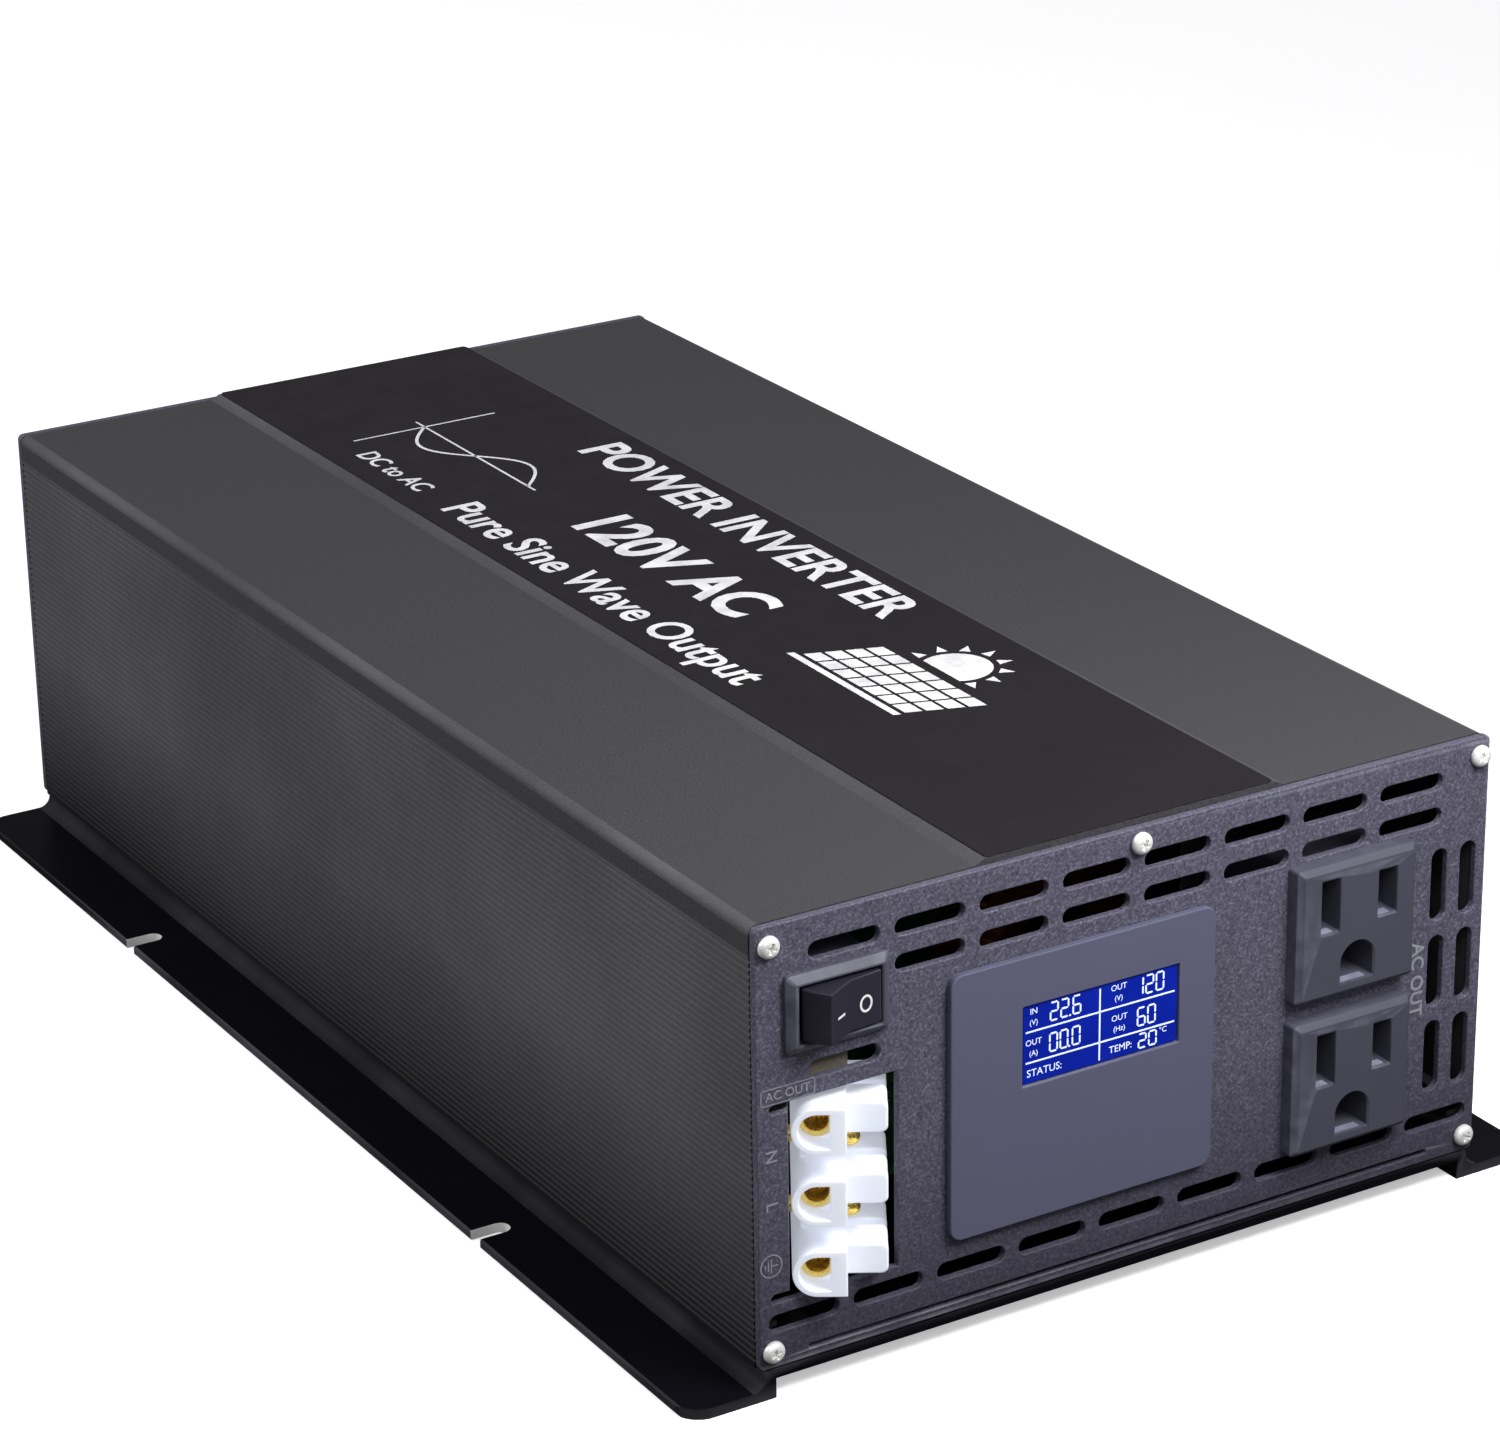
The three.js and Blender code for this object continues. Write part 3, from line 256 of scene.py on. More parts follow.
def sheet_with_holes(outline, holes, thickness, edge, steps=2):
    """A flat plate in X and Y with rounded edges, centred on Z = 0."""
    curve = bpy.data.curves.new("sheet", "CURVE")
    curve.dimensions = "2D"
    curve.fill_mode = "BOTH"
    curve.extrude = (thickness / 2 - edge) * MM
    curve.bevel_depth = edge * MM
    curve.bevel_resolution = steps
    curve.offset = -edge * MM
    for loop in [outline, *holes]:
        spline = curve.splines.new("POLY")
        spline.points.add(len(loop) - 1)
        for point, (u, v) in zip(spline.points, loop):
            point.co = (u * MM, v * MM, 0, 1)
        spline.use_cyclic_u = True
    mesh = evaluated(linked("scratch", curve))
    work = bmesh.new()
    work.from_mesh(mesh)
    bmesh.ops.remove_doubles(work, verts=work.verts, dist=SAME_CURVE_POINT)
    bmesh.ops.dissolve_limit(work, angle_limit=math.radians(0.5), verts=work.verts,
                             edges=work.edges)
    bmesh.ops.recalc_face_normals(work, faces=work.faces)
    work.to_mesh(mesh)
    work.free()
    return mesh


# Turns a drawing in (X, Y) into one in (X, Z) that faces -Y, as the front panel does.
STAND_UP = Matrix(((1, 0, 0, 0), (0, 0, -1, 0), (0, 1, 0, 0), (0, 0, 0, 1)))


def upright_plate(outline, holes, y0, y1, edge):
    """A plate with holes, drawn as (x, z), between two depths."""
    flat = sheet_with_holes(outline, holes, y1 - y0, edge)
    return moved(flat, Matrix.Translation((0, (y0 + y1) / 2, 0)) @ STAND_UP)


def turns(steps):
    """Even angles for one whole turn."""
    return [2 * math.pi * i / steps for i in range(steps)]


def lathe(profile, steps):
    """Turns (radius, y) points round the Y axis. The profile starts and ends on the axis."""
    inner = profile[1:-1]
    verts = [(0, profile[0][1], 0), (0, profile[-1][1], 0)]
    for radius, y in inner:
        verts += [(radius * math.cos(a), y, radius * math.sin(a)) for a in turns(steps)]
    faces = []
    rows = len(inner)
    for i in range(steps):
        j = (i + 1) % steps
        faces.append((0, 2 + j, 2 + i))
        faces.append((1, 2 + (rows - 1) * steps + i, 2 + (rows - 1) * steps + j))
        for k in range(rows - 1):
            a, b = 2 + k * steps, 2 + (k + 1) * steps
            faces.append((a + i, a + j, b + j, b + i))
    return mesh_from(verts, faces)


def tube_ring(profile, steps):
    """Turns a closed (radius, y) outline that stays off the axis round the Y axis."""
    return ring_loft([[(r * math.cos(a), y, r * math.sin(a)) for r, y in profile]
                      for a in turns(steps)])


def rod(radius, y0, y1, x=0, z=0, steps=32):
    """A plain round bar along Y, used to cut holes."""
    return prism_y(circle(x, z, radius, steps), y0, y1)


def neighbours(path, i, closed):
    """The points before and after a point of a path. An open path stops at its ends."""
    before = path[i - 1] if closed or i else path[i]
    after = path[(i + 1) % len(path)] if closed or i < len(path) - 1 else path[i]
    return before, after


def wire(points, radius, closed=False):
    """A round wire along a path of points."""
    path = [Vector(p) for p in points]
    loops = []
    side = None
    for i, here in enumerate(path):
        before, after = neighbours(path, i, closed)
        run = (after - before).normalized()
        if side is None:
            side = run.orthogonal().normalized()
        side = (side - run * side.dot(run)).normalized()
        up = run.cross(side)
        loops.append([tuple(here + radius * (math.cos(a) * side + math.sin(a) * up))
                      for a in turns(WIRE_SIDES)])
    return ring_loft(loops) if closed else loft(loops)


def lettering(text, size, matrix, weight=0.0):
    """Text as a thin mesh. The matrix places its centre; it reads along X with its tops to Y."""
    curve = bpy.data.curves.new("text", "FONT")
    curve.body = text
    curve.size = size * MM
    curve.extrude = PRINT_T / 2 * MM
    curve.offset = weight * MM
    curve.align_x = "CENTER"
    curve.align_y = "CENTER"
    curve.resolution_u = 4
    return moved(evaluated(linked("scratch", curve)), matrix)


def strip(points, width, matrix, thickness=PRINT_T, closed=False):
    """A flat line of constant width along (u, v) points."""
    left, right = [], []
    for i, (u, v) in enumerate(points):
        before, after = neighbours(points, i, closed)
        run = Vector((after[0] - before[0], after[1] - before[1])).normalized()
        normal = Vector((-run.y, run.x)) * width / 2
        left.append((u + normal.x, v + normal.y))
        right.append((u - normal.x, v - normal.y))
    half = thickness / 2
    loops = [[(*l, half), (*l, -half), (*r, -half), (*r, half)] for l, r in zip(left, right)]
    return moved(ring_loft(loops) if closed else loft(loops), matrix)


def filled(loop, matrix):
    """A thin printed patch with that outline."""
    return moved(prism_z(loop, -PRINT_T / 2, PRINT_T / 2), matrix)


def rotation(axis, degrees):
    return Matrix.Rotation(math.radians(degrees), 4, axis)


def place(x, y, z):
    return Matrix.Translation((x, y, z))


def dressed(name, mesh, look):
    """A new object whose mesh has one look."""
    mesh.materials.clear()
    mesh.materials.append(look)
    return linked(name, mesh)


def piece(name, mesh, look, body, replaces=(), angle=SHARP_ANGLE):
    """Adds a finished piece that rides on a body and may stand for CAD nodes."""
    smooth(mesh, angle)
    obj = dressed(name, mesh, look)
    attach(obj, body)
    if replaces:
        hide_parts(*replaces)
    even = obj.modifiers.new("even faces", "WEIGHTED_NORMAL")
    even.keep_sharp = True


# -- Materials -----------------------------------------------
# Every look is a Principled shader fed by object-space noise.

def rgb(red, green, blue):
    """A display colour of 0 to 255 as the linear colour that shaders take."""
    def linear(channel):
        share = channel / 255
        return share / 12.92 if share <= 0.04045 else ((share + 0.055) / 1.055) ** 2.4
    return (linear(red), linear(green), linear(blue), 1)


class Look:
    """A procedural material: a Principled shader with its mottle, grain, worn edges, painted light and
    shade, and bump.
    """

    def __init__(self, name, colour, metallic=0.0, specular=0.5):
        self.material = bpy.data.materials.new(name)
        self.material.use_nodes = True
        self.tree = self.material.node_tree
        self.shader = self.tree.nodes["Principled BSDF"]
        self.shader.inputs["Metallic"].default_value = metallic
        self.shader.inputs["Specular IOR Level"].default_value = specular
        self.coords = self.node("ShaderNodeTexCoord").outputs["Object"]
        self.colour = colour
        self.normal = None

    def node(self, kind, **inputs):
        """A new node. Its inputs are named with _ for a space."""
        made = self.tree.nodes.new(kind)
        for name, value in inputs.items():
            self.feed(made.inputs[name.replace("_", " ")], value)
        return made

    def feed(self, socket, value):
        """Links a socket to another node's output, or sets its plain value."""
        if isinstance(value, bpy.types.NodeSocket):
            self.tree.links.new(value, socket)
        else:
            socket.default_value = value

    def noise(self, size_mm, detail, stretch=(1, 1, 1)):
        """Noise with features about that size, drawn out along the axes with a large stretch."""
        mapping = self.node("ShaderNodeMapping", Vector=self.coords, Scale=[1 / s for s in stretch])
        made = self.node("ShaderNodeTexNoise", Vector=mapping.outputs[0], Scale=1 / (size_mm * MM),
                         Detail=detail)
        return made.outputs["Fac"]

    def span(self, value, low, high, to_low, to_high):
        """A value carried from one range to another, and held at its ends."""
        made = self.node("ShaderNodeMapRange", Value=value, From_Min=low, From_Max=high,
                         To_Min=to_low, To_Max=to_high)
        return made.outputs[0]

    def times(self, a, b):
        made = self.tree.nodes.new("ShaderNodeMath")
        made.operation = "MULTIPLY"
        self.feed(made.inputs[0], a)
        self.feed(made.inputs[1], b)
        return made.outputs[0]

    def blend_in(self, share, colour):
        """Mixes another colour into the base colour by a share."""
        made = self.tree.nodes.new("ShaderNodeMix")
        made.data_type = "RGBA"
        self.feed(made.inputs[0], share)
        self.feed(made.inputs[6], self.colour)
        self.feed(made.inputs[7], colour)
        self.colour = made.outputs[2]

    def tint(self, source, low, high, share, colour):
        """Mixes in a colour, from none to a share of it, as a value runs from low to high."""
        self.blend_in(self.span(source, low, high, 0, share), colour)

    def mottle(self, size_mm, colour, amount):
        """Slow, cloudy changes of colour."""
        self.tint(self.noise(size_mm, 4), 0.35, 0.7, amount, colour)

    def paint_shade_down(self, low, high, colour, amount):
        """Painted shade: darkens into another colour towards the foot of the case, between two heights.
        """
        height = self.node("ShaderNodeSeparateXYZ", Vector=self.coords).outputs["Z"]
        self.blend_in(self.span(height, low * MM, high * MM, amount, 0), colour)

    def bump(self, height, depth_mm, strength):
        """Relief that follows a height, over the relief that is there already."""
        made = self.node("ShaderNodeBump", Height=height, Strength=strength, Distance=depth_mm * MM)
        if self.normal is not None:
            self.feed(made.inputs["Normal"], self.normal)
        self.normal = made.outputs[0]

    def grain(self, size_mm, depth_mm, strength, stretch=(1, 1, 1), detail=2.0):
        """Fine relief in the surface. Returns its noise, so that colour can follow it."""
        height = self.noise(size_mm, detail, stretch)
        self.bump(height, depth_mm, strength)
        return height

    def glow(self, strength):
        """Light of its own, in the colour it has so far. The display is backlit; on the nylon this glow
        is painted light.
        """
        self.feed(self.shader.inputs["Emission Color"], self.colour)
        self.shader.inputs["Emission Strength"].default_value = strength

    def wear_and_highlight(self, colour, start, end, amount, patch_mm=6):
        """Lighter narrow faces where the surface is most convex, broken up by noise: rubbed edges, and
        on the shell's ribs and the tray's neck also a painted highlight.
        """
        convex = self.node("ShaderNodeNewGeometry").outputs["Pointiness"]
        mark = self.node("ShaderNodeAttribute")
        mark.attribute_name = "broad"
        narrow = self.span(mark.outputs["Fac"], 0, 1, 1, 0)
        edge = self.times(self.span(convex, start, end, 0, amount), narrow)
        patches = self.span(self.noise(patch_mm, 5), 0.35, 0.65, 0.25, 1)
        self.blend_in(self.times(edge, patches), colour)

    def done(self, rough_low, rough_high, rough_size_mm=8, rough_from=None):
        """Joins everything to the shader, with roughness that varies between two values."""
        source = rough_from or self.noise(rough_size_mm, 5)
        roughness = self.span(source, 0.3, 0.7, rough_low, rough_high)
        self.feed(self.shader.inputs["Roughness"], roughness)
        self.feed(self.shader.inputs["Base Color"], self.colour)
        if self.normal is not None:
            self.feed(self.shader.inputs["Normal"], self.normal)
        return self.material


def shell_paint():
    look = Look("shell_paint", rgb(60, 59, 62), specular=0.14)
    look.mottle(60, rgb(62, 61, 65), 0.2)
    speck = look.grain(0.42, 0.03, 0.55, detail=3)
    look.tint(speck, 0.52, 0.76, 0.5, rgb(84, 84, 88))
    look.tint(speck, 0.46, 0.3, 0.5, rgb(36, 36, 38))
    # Worn edges, and a painted highlight along the crests of the ribs.
    look.wear_and_highlight(rgb(124, 124, 130), 0.53, 0.6, 0.3, patch_mm=80)
    # Painted shade: the ribbed wall grows darker towards its foot.
    look.paint_shade_down(BOTTOM + 1, BOTTOM + 36, rgb(8, 8, 12), 0.92)
    return look.done(0.46, 0.6, rough_from=speck)


def tray_paint():
    look = Look("tray_paint", rgb(11, 10, 15), specular=0.02)
    look.mottle(25, rgb(15, 14, 20), 0.5)
    speck = look.grain(0.5, 0.01, 0.3)
    look.tint(speck, 0.6, 0.8, 0.3, rgb(40, 40, 48))
    # Worn edges; along the neck the lighter band is also a painted highlight of the fillet.
    look.wear_and_highlight(rgb(92, 92, 100), 0.53, 0.6, 0.5, patch_mm=40)
    return look.done(0.33, 0.39)


def panel_paint():
    look = Look("panel_paint", rgb(78, 76, 91), specular=0.2)
    look.mottle(50, rgb(84, 82, 98), 0.3)
    look.grain(1.1, 0.03, 0.25)
    speck = look.grain(0.5, 0.05, 0.6, detail=4)
    look.tint(speck, 0.52, 0.72, 0.6, rgb(126, 124, 142))
    look.tint(speck, 0.47, 0.3, 0.65, rgb(40, 39, 49))
    # Painted shade: the panel grows darker towards its bottom edge.
    look.paint_shade_down(BOTTOM + 2, BOTTOM + 34, rgb(40, 39, 50), 0.6)
    look.wear_and_highlight(rgb(150, 150, 160), 0.54, 0.62, 0.4)
    return look.done(0.52, 0.68, rough_from=speck)


def film_black():
    look = Look("film_black", rgb(30, 27, 30), specular=0.1)
    look.mottle(30, rgb(34, 30, 34), 0.5)
    speck = look.grain(0.3, 0.015, 0.35)
    look.tint(speck, 0.6, 0.8, 0.3, rgb(50, 46, 50))
    look.wear_and_highlight(rgb(80, 78, 82), 0.54, 0.62, 0.4)
    return look.done(0.45, 0.58)


def print_ink(name, colour, worn):
    look = Look(name, colour, specular=0.2)
    look.mottle(4, worn, 0.45)
    look.grain(0.25, 0.01, 0.3)
    look.tint(look.noise(0.5, 4), 0.66, 0.76, 0.6, worn)
    return look.done(0.5, 0.7)


def bright_steel():
    look = Look("bright_steel", rgb(250, 249, 246), metallic=0.35)
    look.mottle(3, rgb(206, 208, 212), 0.6)
    look.grain(0.5, 0.01, 0.25, stretch=(6, 1, 1))
    look.wear_and_highlight(rgb(240, 240, 240), 0.52, 0.6, 0.6, patch_mm=1.5)
    return look.done(0.26, 0.42, 2)


def bezel_plastic():
    look = Look("bezel_plastic", rgb(86, 87, 108), specular=0.15)
    look.mottle(20, rgb(88, 89, 111), 0.4)
    look.grain(0.14, 0.01, 0.4)
    look.wear_and_highlight(rgb(120, 120, 140), 0.54, 0.62, 0.4)
    return look.done(0.5, 0.62)


def lcd_glass():
    look = Look("lcd_glass", rgb(5, 22, 130), specular=0.15)
    look.mottle(9, rgb(8, 30, 150), 0.6)
    rows = look.node("ShaderNodeTexWave", Vector=look.coords, Scale=900.0, Distortion=0.0)
    rows.bands_direction = "Z"
    look.tint(rows.outputs["Fac"], 0, 1, 0.12, rgb(30, 66, 200))
    look.grain(2.5, 0.004, 0.1)
    look.glow(0.25)
    return look.done(0.2, 0.3)


def lcd_segments():
    look = Look("lcd_segments", rgb(226, 236, 255), specular=0.2)
    look.mottle(3, rgb(200, 216, 250), 0.5)
    look.grain(0.2, 0.004, 0.2)
    look.glow(0.25)
    return look.done(0.3, 0.45)


def moulded(name, colour, lighter, worn, rough=(0.42, 0.6), grain_mm=0.22, specular=0.25):
    """Injection-moulded plastic with a spark-eroded texture."""
    look = Look(name, colour, specular=specular)
    look.mottle(12, lighter, 0.15)
    speck = look.grain(grain_mm, 0.02, 0.5)
    look.tint(speck, 0.6, 0.8, 0.25, lighter)
    look.wear_and_highlight(worn, 0.53, 0.62, 0.5, patch_mm=3)
    return look.done(*rough)


def white_nylon():
    look = Look("white_nylon", rgb(216, 220, 229), specular=0.4)
    look.mottle(7, rgb(204, 209, 224), 0.5)
    look.grain(1.4, 0.04, 0.25)
    look.wear_and_highlight(rgb(255, 255, 255), 0.54, 0.62, 0.5, patch_mm=2)
    look.shader.inputs["Subsurface Weight"].default_value = 0.35
    look.shader.inputs["Subsurface Radius"].default_value = (1.0, 0.9, 0.85)
    look.shader.inputs["Subsurface Scale"].default_value = 0.002
    # Painted light: the nylon glows all over, though no lamp lights it.
    look.glow(0.42)
    return look.done(0.28, 0.42, 3)


def plated(name, colour, other, stretch, rough, worn, metallic=1.0):
    """Drawn, machined or plated metal, with marks drawn out along one axis."""
    look = Look(name, colour, metallic=metallic)
    look.mottle(5, other, 0.6)
    marks = look.grain(0.3, 0.012, 0.4, stretch=stretch, detail=4)
    look.tint(marks, 0.55, 0.75, 0.3, other)
    look.wear_and_highlight(worn, 0.53, 0.6, 0.6, patch_mm=2)
    return look.done(*rough, rough_from=marks)


def fibre_sheet():
    look = Look("fibre_sheet", rgb(104, 98, 88), specular=0.2)
    look.mottle(8, rgb(82, 77, 68), 0.7)
    fibres = look.grain(0.3, 0.04, 0.6, stretch=(1, 9, 1), detail=4)
    look.tint(fibres, 0.5, 0.75, 0.5, rgb(140, 133, 120))
    return look.done(0.7, 0.9)


def circuit_board():
    look = Look("circuit_board", rgb(20, 74, 44), specular=0.5)
    look.mottle(12, rgb(30, 96, 56), 0.6)
    cells = look.node("ShaderNodeTexVoronoi", Vector=look.coords, Scale=180.0)
    cells.distance = "CHEBYCHEV"
    look.tint(cells.outputs["Distance"], 0.3, 0.34, 0.45, rgb(60, 140, 84))
    pads = look.node("ShaderNodeTexVoronoi", Vector=look.coords, Scale=320.0)
    look.tint(pads.outputs["Distance"], 0.16, 0.12, 1, rgb(196, 198, 200))
    look.grain(0.8, 0.03, 0.3)
    return look.done(0.25, 0.45)


def ferrite():
    look = Look("ferrite", rgb(52, 51, 54), specular=0.3)
    look.mottle(6, rgb(70, 66, 64), 0.6)
    speck = look.grain(0.6, 0.06, 0.6, detail=5)
    look.tint(speck, 0.6, 0.8, 0.5, rgb(104, 98, 90))
    look.wear_and_highlight(rgb(130, 126, 120), 0.52, 0.6, 0.5)
    return look.done(0.6, 0.85)


def copper_winding():
    look = Look("copper_winding", rgb(104, 52, 28), metallic=0.6)
    turns = look.node("ShaderNodeTexWave", Vector=look.coords, Scale=180.0, Distortion=1.2)
    turns.bands_direction = "DIAGONAL"
    height = turns.outputs["Fac"]
    # Painted shade: darker in the grooves between the turns.
    look.blend_in(look.span(height, 0, 0.5, 0.8, 0), rgb(84, 34, 16))
    look.bump(height, 0.4, 0.9)
    look.mottle(8, rgb(128, 70, 40), 0.5)
    return look.done(0.3, 0.45)


LOOKS = {
    "shell_black": shell_paint(),
    "base_black": tray_paint(),
    "panel_paint": panel_paint(),
    "label_black": film_black(),
    "bright_steel": bright_steel(),
    "bezel_plastic": bezel_plastic(),
    "lcd_glass": lcd_glass(),
    "circuit_board": circuit_board(),
    "black_plastic": moulded("black_plastic", rgb(66, 67, 79), rgb(76, 77, 90), rgb(112, 114, 130)),
    "rocker_plastic": moulded("rocker_plastic", rgb(38, 37, 48), rgb(46, 45, 58),
                              rgb(90, 90, 102), (0.34, 0.48)),
    "white_nylon": white_nylon(),
    "zinc_steel": plated("zinc_steel", rgb(150, 152, 156), rgb(120, 122, 128), (8, 1, 1),
                         (0.3, 0.5), rgb(200, 200, 204)),
    "brass": plated("brass", rgb(250, 220, 112), rgb(226, 184, 78), (1, 8, 1),
                    (0.18, 0.36), rgb(255, 236, 160), 0.85),
    "fibre_sheet": fibre_sheet(),
    "fan_plastic": moulded("fan_plastic", rgb(24, 24, 27), rgb(34, 34, 38), rgb(80, 80, 84)),
    "red_plastic": moulded("red_plastic", rgb(150, 24, 20), rgb(176, 34, 28), rgb(214, 96, 84),
                           (0.3, 0.46)),
    "black_nylon": moulded("black_nylon", rgb(26, 26, 29), rgb(36, 36, 40), rgb(84, 84, 90),
                           (0.3, 0.46)),
    "ferrite": ferrite(),
    "bare_aluminium": plated("bare_aluminium", rgb(176, 178, 182), rgb(146, 148, 154), (1, 10, 1),
                             (0.32, 0.5), rgb(214, 214, 218)),
    "can_sleeve": moulded("can_sleeve", rgb(26, 32, 56), rgb(36, 44, 74), rgb(110, 116, 140),
                          (0.2, 0.32), 0.6, 0.5),
    "copper_winding": copper_winding(),
    "fuse_plastic": moulded("fuse_plastic", rgb(42, 132, 70), rgb(60, 156, 88), rgb(140, 204, 156),
                            (0.2, 0.34), 0.5, 0.5),
}
LABEL_INK = print_ink("label_ink", rgb(226, 226, 228), rgb(150, 150, 152))
PANEL_INK = print_ink("panel_ink", rgb(142, 142, 150), rgb(104, 104, 114))
SWITCH_INK = print_ink("switch_ink", rgb(232, 232, 234), rgb(178, 178, 182))
LCD_INK = lcd_segments()
# Painted light: a paler copy of the black plastic for the lit floors of the outlet holes.
LIT_FLOOR_LOOK = moulded("lit_floor_paint", rgb(104, 102, 122), rgb(122, 120, 140), rgb(160, 158, 176))


def add(name, mesh, slot, body="case", replaces=(), angle=SHARP_ANGLE):
    """A piece in the finish of its material slot."""
    piece(name, mesh, LOOKS[slot], body, replaces, angle)


def printed(name, meshes, ink, body="case"):
    """Thin raised print. It has its own ink, so it names no material slot."""
    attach(dressed(name, merge(*meshes), ink), body)


# -- Case ----------------------------------------------------

WALL = 2.0
SHELL_CORNER = 1.8
RIB_PITCH = 1.32
RIB_DEPTH = 0.36
RIB_SHAPE = ((0.0, 0.0), (0.14, 0.85), (0.25, 1.0), (0.36, 0.85), (0.5, 0.0))
PLAIN_BAND = 3.7
BAND_HALF = 30.6
BAND_SLOPE = 2.0
BAND_RISE = SHELL_HIGH.z - TOP
LEDGE_REACH = 2.6
LEDGE_GAPS = (0.3, 1.2)
LIP_REACH = 7.9
LIP_Z = (2.2, 3.8)
SCREW_X = 75.1
SCREWS = ((-SCREW_X, TOP - 3.5), (SCREW_X, TOP - 3.5), (0.4, TOP - 2.8),
          (-SCREW_X, BOTTOM + 3.5), (SCREW_X, BOTTOM + 3.5))
PORT_R = 3.2
PORT_BORE = 1.45


def ribbed_wall():
    """The right wall's outer (x, z) points, from its foot to the top corner."""
    ribs_end = TOP - SHELL_CORNER - PLAIN_BAND
    count = int((ribs_end - BOTTOM) / RIB_PITCH)
    start = ribs_end - count * RIB_PITCH
    points = [(HALF_W, BOTTOM)]
    for k in range(count):
        points += [(HALF_W - depth * RIB_DEPTH, start + (k + share) * RIB_PITCH)
                   for share, depth in RIB_SHAPE]
    return points + [(HALF_W, ribs_end)]


def shell_outline():
    """The whole cross-section: ribbed walls, raised band, board ledges and hook lips inside."""
    inner_x = HALF_W - WALL
    inner_z = TOP - WALL
    board = box_mm("main_board")
    right = ribbed_wall() + arc(HALF_W - SHELL_CORNER, TOP - SHELL_CORNER, SHELL_CORNER, 0, 90, 6)
    right += [(BAND_HALF + BAND_SLOPE + 0.15, TOP), (BAND_HALF + BAND_SLOPE - 0.15, TOP + 0.06),
              (BAND_HALF + 0.2, TOP + BAND_RISE - 0.08), (BAND_HALF - 0.1, TOP + BAND_RISE)]
    near, far = LEDGE_GAPS
    steps = [(BOTTOM + LIP_Z[0], BOTTOM + LIP_Z[1], LIP_REACH),
             (board[0].z - far, board[0].z - near, LEDGE_REACH),
             (board[1].z + near, board[1].z + far, LEDGE_REACH)]
    inside = [(inner_x, BOTTOM)]
    for low, high, reach in steps:
        inside += [(inner_x, low), (inner_x - reach, low), (inner_x - reach, high), (inner_x, high)]
    inside.append((inner_x, inner_z))
    outer = right + [(-x, z) for x, z in reversed(right)]
    return outer + [(-x, z) for x, z in inside] + inside[::-1]


def case_shell():
    y0, y1 = SHELL_LOW.y, SHELL_HIGH.y
    shell = prism_y(shell_outline(), y0, y1)
    clip = block(0.5 - HALF_W, HALF_W - 0.5, y0, y1, BOTTOM, TOP - 0.5)
    ports = [boolean(rod(PORT_R, y0, y1, x, z, 24), [clip.copy()], "INTERSECT") for x, z in SCREWS]
    bores = [rod(PORT_BORE, y0 - 1, y1 + 1, x, z, 20) for x, z in SCREWS]
    shell = boolean(boolean(shell, ports, "UNION"), bores)
    add("case_shell", shell, "shell_black", replaces=["top_shell"], angle=40)


FLANGE_T = 2.0
FLOOR_T = 1.8
FLOOR_TOP = BOTTOM - 0.2
NECK_T = 2.0
NECK_FILLET = 2.6
FLANGE_CORNER = 5.0
SLOT_SPACING = 151.4
SLOT_W = 4.0
SLOT_DEPTH = 7.2
NECK_X = 76.4
HOOK_INNER = 65.6
HOOK_T = 1.4
HOOK_REACH = 4.8


def tray_outline():
    floor_low = FLOOR_TOP - FLOOR_T
    inner = NECK_X - NECK_T
    edge = 0.35
    flange = TRAY_HIGH.x
    right = [(inner, floor_low), (inner, 0), (flange - edge, 0), (flange, edge),
             (flange, FLANGE_T - edge), (flange - edge, FLANGE_T)]
    right += arc(NECK_X + NECK_FILLET, FLANGE_T + NECK_FILLET, NECK_FILLET, 270, 180, 8)
    hook_top = TRAY_HIGH.z
    outer_hook = HOOK_INNER + HOOK_REACH
    right += [(NECK_X, FLOOR_TOP - 0.3), (NECK_X - 0.3, FLOOR_TOP),
              (HOOK_INNER + HOOK_T, FLOOR_TOP), (HOOK_INNER + HOOK_T, hook_top - HOOK_T),
              (outer_hook, hook_top - HOOK_T), (outer_hook, hook_top), (HOOK_INNER, hook_top),
              (HOOK_INNER, FLOOR_TOP)]
    return right + [(-x, z) for x, z in reversed(right)]


SLOT_PLACES = [(side, MIDDLE + end * SLOT_SPACING / 2) for side in (-1, 1) for end in (-1, 1)]
BARE_EDGE = 0.16


def flange_slot(side, y, half, mouth):
    """The outline of an open-ended screw slot, cut in from the flange's edge."""
    end = TRAY_HIGH.x - SLOT_DEPTH + SLOT_W / 2
    loop = [(mouth, y + half)] + arc(end, y, half, 90, 270, 10) + [(mouth, y - half)]
    return [(side * u, v) for u, v in loop]


def slot_edges():
    """The bare metal that shows where each slot was cut through the paint."""
    rims = [strip(flange_slot(side, y, (SLOT_W - BARE_EDGE) / 2, TRAY_HIGH.x - BARE_EDGE), BARE_EDGE,
                  place(0, 0, FLANGE_T / 2), FLANGE_T - BARE_EDGE) for side, y in SLOT_PLACES]
    add("slot_edges", merge(*rims), "bright_steel")


def base_tray():
    plan = rounded_rect(TRAY_LOW.x, TRAY_HIGH.x, FRONT, REAR, FLANGE_CORNER, 8)
    tray = boolean(prism_y(tray_outline(), FRONT, REAR), [prism_z(plan, -1, TRAY_HIGH.z + 1)],
                   "INTERSECT")
    # The hooks stop short of the panels, as the shell does.
    ends = [block(-HALF_W, HALF_W, y0, y1, FLOOR_TOP, TRAY_HIGH.z + 1)
            for y0, y1 in ((FRONT - 1, SHELL_LOW.y), (SHELL_HIGH.y, REAR + 1))]
    slots = [prism_z(flange_slot(side, y, SLOT_W / 2, TRAY_HIGH.x + 1), -1, FLANGE_T + 1)
             for side, y in SLOT_PLACES]
    add("tray", boolean(tray, ends + slots), "base_black", replaces=["base_tray"])


